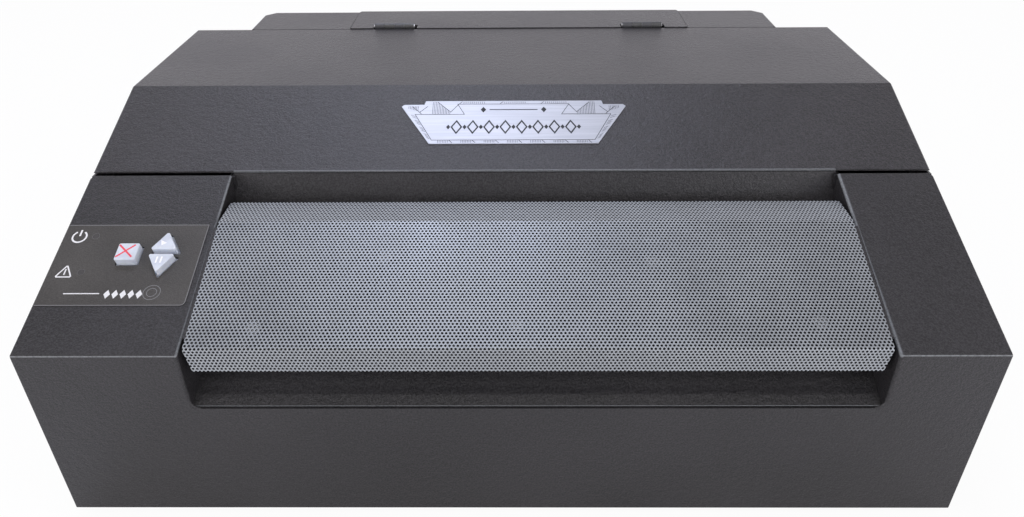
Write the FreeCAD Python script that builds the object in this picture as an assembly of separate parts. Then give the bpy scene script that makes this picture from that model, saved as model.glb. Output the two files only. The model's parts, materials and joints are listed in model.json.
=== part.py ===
import FreeCAD, Part
import math
import os

V = FreeCAD.Vector

# Braille embosser, in millimetres.
# Depths are measured from the front face and heights from the underside of the casing.
# The last section moves every piece, so that the origin is the middle of the footprint
# at the level the feet stand on.

# Casing
case_width = 572.0
front_height = 129.0
slope_angle = 20.0
deck_length = 142.0
lid_slope_length = 90.0
lid_top_depth = 140.0
sheet = 1.5
bend_radius = 1.8
edge_radius = 1.0
lid_gap = 3.9
seam_gap = 1.0
pan_lip = 12.0

# Recess in the decks, and the paper outlet in the front face
recess_width = 412.0
recess_centre = 16.3
outlet_height = 88.3
outlet_corner = 5.0
recess_bend = 1.8
deck_clip = 3.0
chute_gap = 0.6
chute_drop = 1.0
chute_angle = 25.1
throat_below = 5.95
throat_top_gap = 0.4
throat_lean = 18.0
throat_ear = 11.0

# Perforated ramp, one folded sheet
ramp_side_gap = 2.4
ramp_thick = 1.0
ramp_front_y = 3.2
ramp_front_rise = 2.1
ramp_angle = 21.4
ramp_main = 92.8
ramp_rear = 25.6
ramp_drop = 16.4
ramp_bend = 1.6
ramp_taper = 2.6
ramp_clip = 1.0
bracket_thick = 1.2
bracket_shelf = 11.0
bracket_leg = 9.0

# Rear hood over the paper inlet
hood_depth = 56.0
hood_width = 477.0
hood_centre = 1.2
hood_bottom = 75.0
hood_chamfer = 9.0
cover_left = -147.3
cover_right = 159.8
cover_proud = 0.8
cover_gap = 0.9
cover_notch = 4.0

# Butt hinges of the lid
hinge_centres = (-106.6, 118.1)
hinge_length = 35.4
hinge_segments = 4
hinge_radius = 3.0
hinge_pin = 1.5
hinge_lift = 1.2
hinge_setback = 3.6
hinge_slot = 9.0
leaf_thick = 1.2
leaf_reach = 20.0
knuckle_gap = 0.3

# Feet and lid buffers
foot_radius = 11.0
foot_height = 6.0
foot_inset_x = 36.0
foot_inset_y = 30.0
buffer_length = 12.0
buffer_width = 7.0
buffer_squeeze = 0.15
buffer_front = 14.0
buffer_rear = 40.0
buffer_leg = 8.0

# Badge plate on the lid slope
badge_centre = 2.5
badge_low = 168.9
badge_height = 40.2
badge_step = 3.9
badge_top_width = 164.0
badge_step_width = 129.0
badge_bottom_width = 119.2
badge_thick = 0.8

# Control label, keys and indicators on the left deck
label_low = 34.3
label_high = 96.6
label_right_margin = 4.3
label_corner = 3.0
label_thick = 0.3
key_height = 5.2
key_gap = 0.9
key_travel = 1.5
key_corner = 1.1
key_flange = 1.6
key_flange_thick = 1.5
key_row = 71.4
key_margin = 26.3
key_spacing = 22.2
cancel_side = 13.0
arrow_width = 16.8
arrow_length = 14.0
arrow_offset = 1.8
lamp_margin = 21.3
lamp_rows = (87.3, 59.0)
lamp_radius = 2.0
board_thick = 1.6
board_depth = 14.0
board_margin = 9.0

# Side frames of the mechanism
frame_thick = 2.0
frame_clear = 4.0
frame_front = 106.0
frame_rear_gap = 7.0
frame_foot = 14.0

# Paper plane and feed
paper_drop = 45.4
pin_pitch = 12.7
pin_count = 8
pin_radius = 1.9
pin_height = 2.4
drive_setback = 58.0
shaft_side = 10.0
shaft_fit = 0.12
run_fit = 0.05
journal_radius = 5.0
bush_wall = 2.0
bush_flange = 1.5
rod_radius = 5.0
rod_spread = 30.0
wheel_width = 8.4
hub_radius = 9.0
cheek_thick = 2.0
cheek_gap = 0.4
tractor_inset = 11.7
tractor_drop = 14.0
door_thick = 2.0
door_lift = 0.8
door_length = 32.0
door_reach = 18.0
door_barrel = 1.6
door_pin = 0.8
lever_ring = 2.6
lever_thick = 3.0
lever_length = 22.0
lever_angle = 55.0
gear_module = 1.0
drive_teeth = 90
pinion_teeth = 16
gear_width = 8.0
gear_backlash = 0.30
gear_standoff = 3.0
pulley_radius = 13.8
pulley_ratio = 1.6
belt_thick = 1.4
belt_width = 7.0
belt_clear = 0.3
flange_rim = 2.2
pulley_rim = 1.0

# Exit rollers
exit_setback = 17.0
pinch_radius = 6.0
pinch_gap = 0.3
roller_side_gap = 1.5
pinch_width = 18.0
pinch_count = 7
roller_journal = 4.0

# Embossing head and its guide rods
head_rod_rise = 19.0
head_front_rod = -8.0
head_rear_rod = 54.0
head_width = 56.0
head_home_gap = 8.0
head_block = 16.0
head_plate = 5.0
head_rows = 14.0
head_columns = 15.0
punch_radius = 0.8
punch_fit = 0.08
punch_rest = 1.3
solenoid_radius = 6.2
solenoid_height = 11.5
belt_line = 18.0
timing_radius = 6.37
timing_height = 10.0
motor_side = 42.0
motor_length = 40.0
motor_shaft = 2.5
motor_offset = 42.0
idler_offset = 20.0
shelf_thick = 2.0
shelf_drop = 11.0

# Anvil beam under the head
anvil_depth = 30.0
anvil_height = 21.4
anvil_gap = 0.8
bed_thick = 1.5
guide_setback = 18.0
guide_reach = 4.0
guide_bend = 24.0
guide_side_gap = 8.0
groove_depth = 0.6

# Feed motor
feed_motor_side = 57.0
feed_motor_length = 52.0
feed_boss = 19.0

# Electronics and services
supply_size = (150.0, 100.0, 40.0)
supply_gap = 11.2
supply_setback = 10.0
board_size = (150.0, 120.0)
board_rise = 8.0
board_shift = 15.0
board_setback = 10.0
board_post_radius = 3.0
board_post_inset = 6.0
board_chips = ((50.0, 30.0, 24.0, 24.0, 2.4), (90.0, 34.0, 14.0, 16.0, 2.0),
               (14.0, 70.0, 20.0, 12.0, 2.4))
can_place = (20.0, 20.0)
can_pitch = 16.0
can_radius = 6.0
can_height = 18.0
sink_place = (88.0, 66.0)
sink_size = (48.0, 24.0)
sink_base = 3.0
fin_count = 5
fin_thick = 2.0
fin_height = 13.0
plug_place = (60.0, 4.0)
plug_pitch = 26.0
plug_size = (20.0, 7.0, 9.0)
fan_side = 60.0
fan_depth = 20.0
fan_bore = 28.0
fan_hub = 12.0
fan_blades = 7
fan_x = -120.0
fan_z = 45.0
entry_z = 36.0
entry_width = 56.0
entry_height = 28.0
entry_depth = 22.0
ports_x = 120.0
ports_z = 22.0
port_sizes = ((-42.0, 12.4, 11.2), (8.0, 55.0, 12.6), (58.0, 16.4, 13.6))
port_depth = 12.0
port_back = 4.0
port_stand = 1.0
port_wall = 0.8
port_fit = 0.2
screw_radius = 1.5
screw_head = 3.0
screw_head_height = 1.6

# Places worked out from the sizes above
slope = math.radians(slope_angle)
half_width = case_width / 2
split_y = deck_length * math.cos(slope)
split_z = front_height + deck_length * math.sin(slope)
ridge_y = (deck_length + lid_slope_length) * math.cos(slope)
top_z = front_height + (deck_length + lid_slope_length) * math.sin(slope)
lid_rear_y = ridge_y + lid_top_depth
panel_y = lid_rear_y + seam_gap
hood_rear_y = lid_rear_y + hood_depth
base_top = split_z - sheet
skirt_z = base_top + seam_gap
recess_left = recess_centre - recess_width / 2
recess_right = recess_centre + recess_width / 2
arrow_x = recess_left - key_margin
cancel_x = arrow_x - key_spacing
lamp_x = -half_width + lamp_margin
hood_left = hood_centre - hood_width / 2
hood_right = hood_centre + hood_width / 2
frame_left = recess_left - sheet
frame_right = recess_right + sheet
entry_x = (frame_left - half_width) / 2
paper_z = top_z - paper_drop
throat_height = paper_z - throat_below
wheel_radius = pin_pitch * pin_count / (2 * math.pi)
drive_y = lid_rear_y - drive_setback
drive_z = paper_z - wheel_radius
rod_y = drive_y + rod_spread
exit_radius = wheel_radius / pulley_ratio
exit_y = split_y + exit_setback
exit_z = paper_z - exit_radius
pinch_z = paper_z + pinch_gap + pinch_radius
head_rod_z = paper_z + head_rod_rise
front_rod_y = ridge_y + head_front_rod
rear_rod_y = ridge_y + head_rear_rod
head_y = (front_rod_y + rear_rod_y) / 2
head_x = frame_left + head_home_gap + head_width / 2
head_belt_y = front_rod_y - belt_line
total_depth = hood_rear_y + cover_proud + screw_head_height


# Small tools for drawing
def box(x0, x1, y0, y1, z0, z1):
    return Part.makeBox(x1 - x0, y1 - y0, z1 - z0, V(x0, y0, z0))


def rod(start, direction, radius, length):
    return Part.makeCylinder(radius, length, start, direction)


def tube(start, direction, outer, inner, length):
    return rod(start, direction, outer, length).cut(rod(start, direction, inner, length))


def polygon_face(points):
    return Part.Face(Part.makePolygon(list(points) + [points[0]]))


def rounded_face(points, radii):
    """Flat face with straight sides, whose corner number i has the radius radii[i]."""
    edges = []
    starts = []
    ends = []
    count = len(points)
    for i, corner in enumerate(points):
        before = points[i - 1] - corner
        after = points[(i + 1) % count] - corner
        half_turn = before.getAngle(after) / 2
        reach = radii.get(i, 0.0) / math.tan(half_turn)
        starts.append(corner + V(before).normalize() * reach)
        ends.append(corner + V(after).normalize() * reach)
    for i, corner in enumerate(points):
        radius = radii.get(i, 0.0)
        if radius > 0:
            inward = (V(starts[i] - corner).normalize() + V(ends[i] - corner).normalize()).normalize()
            half_turn = (starts[i] - corner).getAngle(ends[i] - corner) / 2
            middle = corner + inward * (radius / math.sin(half_turn) - radius)
            edges.append(Part.Arc(starts[i], middle, ends[i]).toShape())
        edges.append(Part.makeLine(ends[i], starts[(i + 1) % count]))
    return Part.Face(Part.Wire(edges))


def side_face(points, x, radii=None):
    """Outline seen from the side: points are (depth, height) pairs."""
    corners = [V(x, y, z) for y, z in points]
    return rounded_face(corners, radii) if radii else polygon_face(corners)


def side_prism(points, x0, x1, radii=None):
    return side_face(points, x0, radii).extrude(V(x1 - x0, 0, 0))


def slope_point(along, inward=0.0):
    """(depth, height) of a point this far up the slope and this far below its surface."""
    y = along * math.cos(slope) + inward * math.sin(slope)
    z = front_height + along * math.sin(slope) - inward * math.cos(slope)
    return (y, z)


slope_up = V(0, -math.sin(slope), math.cos(slope))


def on_slope(x, along, height=0.0):
    y, z = slope_point(along, -height)
    return V(x, y, z)


def slope_prism(points, low, high, radii=None):
    """Outline drawn on the slope as (across, along) pairs, from one height over it to another."""
    corners = [on_slope(x, s, low) for x, s in points]
    face = rounded_face(corners, radii) if radii else polygon_face(corners)
    return face.extrude(slope_up * (high - low))


def slope_under(y, inward):
    """Height of the slope's surface, or a layer this far below it, at a depth."""
    return front_height + y * math.tan(slope) - inward / math.cos(slope)


def rounded_edges(shape, radius, wanted):
    """The shape with the edges rounded for which wanted(first point, last point) is true."""
    edges = [e for e in shape.Edges if wanted(e.Vertexes[0].Point, e.Vertexes[-1].Point)]
    return shape.makeFillet(radius, edges)


def near(a, b):
    return abs(a - b) < 0.01


def joined(*shapes):
    return shapes[0].fuse(list(shapes[1:])).removeSplitter()


def group(shapes):
    return Part.makeCompound(list(shapes))


# Casing and covers
deck_end = deck_length - lid_gap / 2
lid_start = deck_length + lid_gap / 2
inner_corner = slope_under(sheet, sheet)


def chute_z(y, below=0.0):
    chute = math.radians(chute_angle)
    return outlet_height - chute_drop + y * math.tan(chute) - below / math.cos(chute)


def screw_holes_side(y_list, z, side):
    """Clearance holes through a side panel and the lip of the pan behind it."""
    x = side * half_width
    reach = V(-side, 0, 0)
    start = V(x, 0, 0) - reach
    return [rod(start + V(0, y, z), reach, screw_radius, 6 * sheet) for y in y_list]


side_screw_y = (40.0, panel_y / 2, panel_y - 40.0)
side_screw_z = sheet + pan_lip / 2
rear_screw_x = (-half_width + 20.0, -70.0, 30.0, half_width - 20.0)


def recess_rounding(x, side):
    """Cutter along one edge of the recess, from the outlet's corner to the end of the deck."""
    r = recess_bend
    spare = 0.1
    start = outlet_height + outlet_corner
    bend_z = front_height - bend_radius / math.tan((math.pi / 2 + slope) / 2)
    bend = V(x, bend_radius, bend_z)
    turn = slope_angle - 90
    square = polygon_face([V(x - side * r, -spare, start), V(x + side * spare, -spare, start),
                           V(x + side * spare, r, start), V(x - side * r, r, start)])
    circle = Part.Face(Part.Wire(Part.makeCircle(r, V(x - side * r, r, start), V(0, 0, 1))))
    section = square.cut(circle).Faces[0]
    lifted = section.translated(V(0, 0, bend_z - start))
    tilted = lifted.copy()
    tilted.rotate(bend, V(1, 0, 0), turn)
    along = V(0, math.cos(slope), math.sin(slope)) * deck_length
    corner = V(x + side * outlet_corner, 0, start)
    return group([section.extrude(V(0, 0, bend_z - start)), lifted.revolve(bend, V(1, 0, 0), turn),
                  tilted.extrude(along), section.revolve(corner, V(0, 1, 0), -90 * side)])


def make_front_casing():
    """Front face, both decks and the recess walls, bent from one sheet."""
    outer_end = slope_point(deck_end)
    inner_end = slope_point(deck_end, sheet)
    profile = [(0, 0), (0, front_height), outer_end, inner_end, (sheet, inner_corner), (sheet, 0)]
    shell = side_prism(profile, -half_width, half_width, {1: bend_radius, 4: bend_radius - sheet})

    def outer_side_edge(a, b):
        on_side = near(abs(a.x), half_width) and near(a.x, b.x)
        deep = (a.y * math.sin(slope) - (a.z - front_height) * math.cos(slope) > sheet / 2
                and a.y > sheet / 2)
        deep_b = (b.y * math.sin(slope) - (b.z - front_height) * math.cos(slope) > sheet / 2
                  and b.y > sheet / 2)
        return on_side and not deep and not deep_b

    shell = rounded_edges(shell, edge_radius, outer_side_edge)
    shell = shell.cut(box(recess_left, recess_right, -sheet, split_y + sheet, outlet_height, top_z))
    walls = []
    for x0 in (recess_left - sheet, recess_right):
        outline = [(0, chute_z(0, 2 * sheet)), (0, front_height), outer_end,
                   (outer_end[0], chute_z(outer_end[0], 2 * sheet))]
        wall = side_prism(outline, x0, x0 + sheet, {1: bend_radius})
        walls.append(wall)
    corners = []
    for x, side in ((recess_left, 1), (recess_right, -1)):
        r = outlet_corner
        square = box(min(x, x + side * r), max(x, x + side * r), 0, sheet,
                     outlet_height - sheet, outlet_height + r)
        corners.append(square.cut(rod(V(x + side * r, -1, outlet_height + r), V(0, 1, 0), r,
                                      2 * sheet)))
    shell = joined(shell, *walls, *corners)

    clips = []
    for side in (-1, 1):
        x = side * half_width
        deep = [V(x, deck_end, 0), V(x, deck_end - deck_clip, 0), V(x - side * deck_clip, deck_end, 0)]
        low, high = -2 * sheet, 2 * sheet
        flat = [on_slope(p.x, p.y, low) for p in deep]
        clips.append(polygon_face(flat).extrude(slope_up * (high - low)))
    rounding = [recess_rounding(recess_left, 1), recess_rounding(recess_right, -1)]
    keys = [key_hole(outline) for outline in key_outlines().values()]
    lamps = [rod(on_slope(lamp_x, row, sheet), -slope_up, lamp_radius, 3 * sheet)
             for row in lamp_rows]
    return shell.cut(rounding + clips + keys + lamps)


def make_side_panel(side):
    """Flat side of the base, behind the front face and under the deck and lid."""
    outline = [(sheet, 0), (sheet, inner_corner), slope_point(deck_end, sheet),
               (slope_point(deck_end, sheet)[0], base_top), (panel_y, base_top), (panel_y, 0)]
    x0 = half_width - sheet if side > 0 else -half_width
    panel = side_prism(outline, x0, x0 + sheet, {1: bend_radius - sheet})
    return panel.cut(screw_holes_side(side_screw_y, side_screw_z, side))


def make_bottom_pan():
    """Tray that the mechanism stands on, with air slots under the fan and the supply."""
    x0 = half_width - sheet
    outside = box(-x0, x0, sheet, panel_y, 0, sheet + pan_lip)
    inside = box(-x0 + sheet, x0 - sheet, 2 * sheet, panel_y - sheet, sheet, 2 * pan_lip)
    pan = outside.cut(inside)
    slot_pitch = 9.0
    slots = [box(x, x + slot_pitch / 3, 110, 165, -sheet, 2 * sheet)
             for x in [-150 + slot_pitch * i for i in range(14)]]
    holes = screw_holes_side(side_screw_y, side_screw_z, 1)
    holes += screw_holes_side(side_screw_y, side_screw_z, -1)
    holes += [rod(V(x, panel_y + 3 * sheet, side_screw_z), V(0, -1, 0), screw_radius, 6 * sheet)
              for x in rear_screw_x]
    return pan.cut(slots + holes)


def make_rear_panel():
    """Back of the base: paper window, fan grille, power and data cut-outs, hinge notches."""
    y0 = panel_y
    y1 = panel_y + sheet
    low = box(-half_width, half_width, y0, y1, 0, base_top)
    high = box(hood_left + sheet, hood_right - sheet, y0, y1, base_top, top_z - sheet)
    middle = box(cover_left, cover_right, y0, y1, top_z - sheet, top_z - sheet + cover_proud)
    cuts = [box(frame_left + 2, frame_right - 2, y0 - 1, y1 + 1,
                paper_z - anvil_gap - bed_thick, paper_z + 22)]
    for x in hinge_centres:
        cuts.append(box(x - hinge_length / 2 - 3, x + hinge_length / 2 + 3, y0 - 1, y1 + 1,
                        top_z - sheet - 2 * leaf_thick, top_z + 2))
    spokes = []
    for ring in range(4):
        outer = fan_bore - 6.5 * ring
        spokes.append(tube(V(fan_x, y0 - 1, fan_z), V(0, 1, 0), outer, outer - 4.0, sheet + 2))
    cross = group([box(fan_x - 1.5, fan_x + 1.5, y0 - 2, y1 + 2, fan_z - fan_side, fan_z + fan_side),
                   box(fan_x - fan_side, fan_x + fan_side, y0 - 2, y1 + 2, fan_z - 1.5, fan_z + 1.5)])
    cuts += [ring.cut(cross) for ring in spokes]
    cuts.append(box(entry_x - entry_width / 2, entry_x + entry_width / 2, y0 - 1, y1 + 1,
                    entry_z - entry_height / 2, entry_z + entry_height / 2))
    cuts += [port_hole(x, w, h) for x, w, h in port_list]
    cuts += [rod(V(x, y0 - 1, side_screw_z), V(0, 1, 0), screw_radius, sheet + 2)
             for x in rear_screw_x]
    return joined(low, high, middle).cut(cuts)


def hood_profile(x0, x1, proud, bottom):
    """Top and back of the hood as one bent sheet."""
    y0 = panel_y
    y1 = hood_rear_y + proud
    z1 = top_z + proud
    outline = [(y0, z1), (y1, z1), (y1, bottom), (y1 - sheet, bottom), (y1 - sheet, z1 - sheet),
               (y0, z1 - sheet)]
    return side_prism(outline, x0, x1, {1: bend_radius, 4: bend_radius - sheet})


def make_hood_corner(side):
    """Outer part of the hood: top, back, side wall and the narrow wall across the corner."""
    seam = cover_left if side < 0 else cover_right
    outer = hood_centre + side * hood_width / 2

    def plan(inset, start_y):
        cut = hood_chamfer + inset * (2 - math.sqrt(2))
        back = hood_rear_y - inset
        wall = outer - side * inset
        return [(seam, start_y), (wall, start_y), (wall, back + inset - cut),
                (wall + side * (inset - cut), back), (seam, back)]

    def prism(outline, low, high):
        return polygon_face([V(x, y, low) for x, y in outline]).extrude(V(0, 0, high - low))

    solid = prism(plan(0.0, panel_y + sheet), hood_bottom, top_z)

    def top_edge(a, b):
        at_seam = near(a.x, seam) and near(b.x, seam)
        at_panel = near(a.y, panel_y + sheet) and near(b.y, panel_y + sheet)
        return near(a.z, top_z) and near(b.z, top_z) and not at_seam and not at_panel

    solid = rounded_edges(solid, bend_radius, top_edge)
    hollow = prism(plan(sheet, panel_y), hood_bottom - 1, top_z - sheet)
    roof = box(min(seam, outer - side * 2 * sheet), max(seam, outer - side * 2 * sheet), panel_y,
               panel_y + 2 * sheet, top_z - sheet, top_z)
    return joined(solid.cut(hollow), roof)


def make_rear_cover():
    """Middle of the hood, notched for the two hinges and at both ends of its rear bend."""
    x0 = cover_left + cover_gap
    x1 = cover_right - cover_gap
    skin = hood_profile(x0, x1, cover_proud, hood_bottom)
    cuts = []
    for x in hinge_centres:
        cuts.append(box(x - hinge_length / 2 - 1.4, x + hinge_length / 2 + 2.8, panel_y - 1,
                        panel_y + hinge_slot, top_z - 4 * sheet, top_z + 2 * sheet))
    rear = hood_rear_y + cover_proud
    for x, side in ((x0, 1), (x1, -1)):
        notch = polygon_face([V(x, rear - cover_notch, 0), V(x + side * cover_notch / 2, rear, 0),
                              V(x, rear, 0)])
        low = top_z - cover_notch
        cuts.append(notch.extrude(V(0, 0, 2 * cover_notch)).translated(V(-side * 0.01, 0.01, low)))
    cuts += [rod(V(x, rear - 3 * sheet, z), V(0, 1, 0), screw_radius, 6 * sheet)
             for x, z in cover_screws()]
    return skin.cut(cuts)


def cover_screws():
    inset = 14.0
    x_list = (cover_left + inset, cover_right - inset)
    z_list = (hood_bottom + inset, top_z - 2 * inset)
    return [(x, z) for x in x_list for z in z_list]


def make_throat_wall():
    """Leaning plate behind the ramp that keeps the outgoing paper down in the chute."""
    lean = math.tan(math.radians(throat_lean))
    top_y = slope_point(lid_start, sheet)[0]
    high = slope_under(top_y, sheet + throat_top_gap)
    low_y = top_y - (high - throat_height) * lean
    back = sheet / math.cos(math.radians(throat_lean))
    plate = side_prism([(low_y, throat_height), (top_y, high), (top_y + back, high),
                        (low_y + back, throat_height)], recess_left, recess_right)
    y0 = slope_point(deck_end)[0] + 0.5
    y1 = y0 + throat_ear
    ears = []
    for x0 in (recess_left - sheet, recess_right):
        ears.append(side_prism([(y0, throat_height + 4), (y0, high - 1), (y1, high - 1),
                                (y1, throat_height + 4)], x0, x0 + sheet))
    for x0 in (recess_left, recess_right - sheet):
        ears.append(side_prism([(y0, throat_height + 6), (y0, high - 1), (top_y + back, high - 1),
                                (top_y + back, throat_height + 6)], x0, x0 + sheet))
    return joined(plate, *ears)


def make_chute_floor():
    """Sloping floor that carries the paper from the exit rollers to the front edge."""
    chute = math.radians(chute_angle)
    y0 = sheet + chute_gap
    y1 = exit_y - exit_radius - 1.5
    outline = [(y0, chute_z(y0)), (y1, chute_z(y1)), (y1 + sheet * math.sin(chute), chute_z(y1)
               - sheet * math.cos(chute)), (y0 + sheet * math.sin(chute), chute_z(y0)
               - sheet * math.cos(chute))]
    return side_prism(outline, recess_left, recess_right)


def ramp_line():
    """Upper corners of the ramp from its front lip to its rear edge."""
    tilt = math.radians(ramp_angle)
    z = front_height + ramp_front_rise
    rise_y = ramp_front_y + ramp_main * math.cos(tilt)
    rise_z = z + ramp_main * math.sin(tilt)
    return [(ramp_front_y, z - ramp_drop), (ramp_front_y, z), (rise_y, rise_z),
            (rise_y + ramp_rear, rise_z)]


def make_ramp():
    """Perforated sheet folded along two lines; the holes are a surface pattern."""
    tilt = math.radians(ramp_angle)
    lip, fold, crest, rear = ramp_line()
    t = ramp_thick
    inner_fold = (fold[0] + t, fold[1] + t * math.tan(tilt) - t / math.cos(tilt))
    inner_crest = (crest[0] + t * math.tan(tilt / 2), crest[1] - t)
    outline = [lip, fold, crest, rear, (rear[0], rear[1] - t), inner_crest, inner_fold,
               (lip[0] + t, lip[1])]
    left = recess_left + ramp_side_gap
    right = recess_right - ramp_side_gap
    radii = {1: ramp_bend, 2: ramp_bend, 5: ramp_bend - t / 2, 6: ramp_bend - t / 2}
    folded = side_prism(outline, left, right, radii)
    cuts = []
    for x, side in ((left, -1), (right, 1)):
        wedge = [V(x, 0, fold[1] - ramp_bend), V(x - side * ramp_taper, 0, lip[1]),
                 V(x + side, 0, lip[1]), V(x + side, 0, fold[1] - ramp_bend)]
        cuts.append(polygon_face(wedge).extrude(V(0, lip[0] + 2 * t, 0)))
        clip = [V(x, rear[0] - ramp_clip, crest[1] - 2 * t), V(x, rear[0], crest[1] - 2 * t),
                V(x - side * ramp_clip, rear[0], crest[1] - 2 * t)]
        cuts.append(polygon_face(clip).extrude(V(0, 0, 3 * t)))
    return folded.cut(cuts)


def make_ramp_brackets():
    """Angle strips on the recess walls that the ramp's edges lie on."""
    tilt = math.radians(ramp_angle)
    lip, fold, crest, rear = ramp_line()
    down = ramp_thick
    y0, z0 = fold[0] + 8 * math.cos(tilt), fold[1] + 8 * math.sin(tilt)
    y1, z1 = crest[0] - 4 * math.cos(tilt), crest[1] - 4 * math.sin(tilt)
    normal = (math.sin(tilt), -math.cos(tilt))

    def strip(a, b):
        return [(y0 + normal[0] * a, z0 + normal[1] * a), (y1 + normal[0] * a, z1 + normal[1] * a),
                (y1 + normal[0] * b, z1 + normal[1] * b), (y0 + normal[0] * b, z0 + normal[1] * b)]

    pieces = []
    for wall, side in ((recess_left, 1), (recess_right, -1)):
        x = sorted((wall, wall + side * bracket_shelf))
        shelf = side_prism(strip(down, down + bracket_thick), x[0], x[1])
        x = sorted((wall, wall + side * bracket_thick))
        leg = side_prism(strip(down, down + bracket_leg), x[0], x[1])
        pieces.append(joined(shelf, leg))
    return group(pieces)


def make_lid():
    """Hinged cover: slope, flat top, side skirts, and rear skirts beside the hood."""
    front = slope_point(lid_start)
    outline = [front, (ridge_y, top_z), (lid_rear_y, top_z), (lid_rear_y, skirt_z),
               (front[0], skirt_z)]
    solid = side_prism(outline, -half_width, half_width, {1: bend_radius})

    def upper_side_edge(a, b):
        on_side = near(abs(a.x), half_width) and near(a.x, b.x)
        return on_side and min(a.z, b.z) > skirt_z + 0.5

    solid = rounded_edges(solid, edge_radius + sheet / 2, upper_side_edge)
    inner_front = slope_point(lid_start - 2 * sheet, sheet)
    ridge_in = (ridge_y + sheet * math.tan(slope / 2), top_z - sheet)
    hollow = [inner_front, ridge_in, (lid_rear_y - sheet, top_z - sheet),
              (lid_rear_y - sheet, skirt_z - sheet), (inner_front[0], skirt_z - sheet)]
    solid = solid.cut(side_prism(hollow, -half_width + sheet, half_width - sheet))
    return solid.cut(box(hood_left - 2 * seam_gap, hood_right + 2 * seam_gap, lid_rear_y - 2 * sheet,
                         lid_rear_y + sheet, skirt_z - sheet, top_z - sheet))


def badge_outline():
    low = badge_low
    high = badge_low + badge_height
    step = high + badge_step
    half_low = badge_bottom_width / 2
    half_high = badge_top_width / 2
    half_step = badge_step_width / 2
    clip = 2.0
    points = [(-half_low, low), (half_low, low), (half_high, high - clip), (half_high - clip, high),
              (half_step + 1, high), (half_step, step), (-half_step, step), (-half_step - 1, high),
              (-half_high + clip, high), (-half_high, high - clip)]
    return [(badge_centre + x, s) for x, s in points]


def make_badge():
    """Blank metal plate stuck to the lid's slope."""
    return slope_prism(badge_outline(), 0.0, badge_thick)


# Hinges of the lid
axis_y = panel_y + hinge_setback
axis_z = top_z + hinge_lift


def knuckles(first):
    """Barrel segments of one leaf, every second one from the number given."""
    pitch = hinge_length / hinge_segments
    rings = []
    for x in hinge_centres:
        for i in range(first, hinge_segments, 2):
            x0 = x - hinge_length / 2 + pitch * i + knuckle_gap / 2
            rings.append((x0, pitch - knuckle_gap))
    return rings


def make_leaves(first, underside, direction):
    """Leaves and knuckles of one side of both hinges, lying under the sheet they hold."""
    pieces = []
    for x in hinge_centres:
        near_y = axis_y + direction * (hinge_radius + knuckle_gap + 0.4)
        far_y = axis_y + direction * leaf_reach
        ys = sorted((near_y, far_y))
        leaf = box(x - hinge_length / 2, x + hinge_length / 2, ys[0], ys[1],
                   underside - leaf_thick, underside)
        parts = [leaf]
        for x0, length in knuckles(first):
            if abs(x0 - x) < hinge_length:
                barrel = rod(V(x0, axis_y, axis_z), V(1, 0, 0), hinge_radius, length)
                ys = sorted((axis_y, near_y))
                web = box(x0, x0 + length, ys[0], ys[1], underside - leaf_thick, underside)
                parts += [barrel, web]
        whole = joined(*parts)
        pin_way = rod(V(x - hinge_length, axis_y, axis_z), V(1, 0, 0), hinge_pin + run_fit,
                      2 * hinge_length)
        pieces.append(whole.cut(pin_way))
    return pieces


def make_lid_leaves():
    return group(make_leaves(0, top_z - sheet, -1))


def make_cover_leaves():
    """Rear leaves, and the pins that stay with them."""
    pins = [rod(V(x - hinge_length / 2 - 0.5, axis_y, axis_z), V(1, 0, 0), hinge_pin,
                hinge_length + 1.0) for x in hinge_centres]
    return group(make_leaves(1, top_z + cover_proud - sheet, 1) + pins)


# Feet, buffers and screws
def foot_places():
    x = half_width - foot_inset_x
    return [(side * x, y) for side in (-1, 1) for y in (foot_inset_y, panel_y - foot_inset_y)]


def make_feet():
    feet = []
    for x, y in foot_places():
        foot = Part.makeCone(foot_radius - 1.5, foot_radius, foot_height, V(x, y, -foot_height))
        hole = rod(V(x, y, -foot_height - 1), V(0, 0, 1), screw_head, foot_height - 1)
        feet.append(foot.cut(hole))
    return group(feet)


def make_buffers():
    """Soft pads on the base's shoulders that the closed lid's skirts sit on."""
    pads = []
    height = seam_gap - buffer_squeeze
    for side in (-1, 1):
        x = sorted((side * half_width - side * 0.2, side * (half_width - buffer_width)))
        for y in (split_y + buffer_front, panel_y - buffer_rear):
            pad = box(x[0], x[1], y, y + buffer_length, base_top, base_top + height)
            inner = sorted((side * (half_width - sheet), side * (half_width - buffer_width)))
            leg = box(inner[0], inner[1], y, y + buffer_length, base_top - buffer_leg, base_top)
            pads.append(joined(pad, leg))
    return group(pads)


def pan_screw(point, direction):
    head = rod(point, direction, screw_head, screw_head_height)
    shank = rod(point, -direction, screw_radius, 3 * sheet)
    return joined(head, shank)


def make_case_screws():
    screws = []
    for side in (-1, 1):
        for y in side_screw_y:
            screws.append(pan_screw(V(side * half_width, y, side_screw_z), V(side, 0, 0)))
    for x in rear_screw_x:
        screws.append(pan_screw(V(x, panel_y + sheet, side_screw_z), V(0, 1, 0)))
    for x, z in cover_screws():
        screws.append(pan_screw(V(x, hood_rear_y + cover_proud, z), V(0, 1, 0)))
    return group(screws)


# Control panel on the left deck
def key_outlines():
    """Outline of each key's cap on the slope."""
    side = cancel_side / 2
    cancel = [(cancel_x - side, key_row - side), (cancel_x + side, key_row - side),
              (cancel_x + side, key_row + side), (cancel_x - side, key_row + side)]
    half = arrow_width / 2
    base = key_row + arrow_offset
    run = [(arrow_x - half, base), (arrow_x + half, base), (arrow_x, base + arrow_length)]
    base = key_row - arrow_offset
    pause = [(arrow_x + half, base), (arrow_x - half, base), (arrow_x, base - arrow_length)]
    return {"cancel_key": cancel, "run_key": run, "pause_key": pause}


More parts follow.
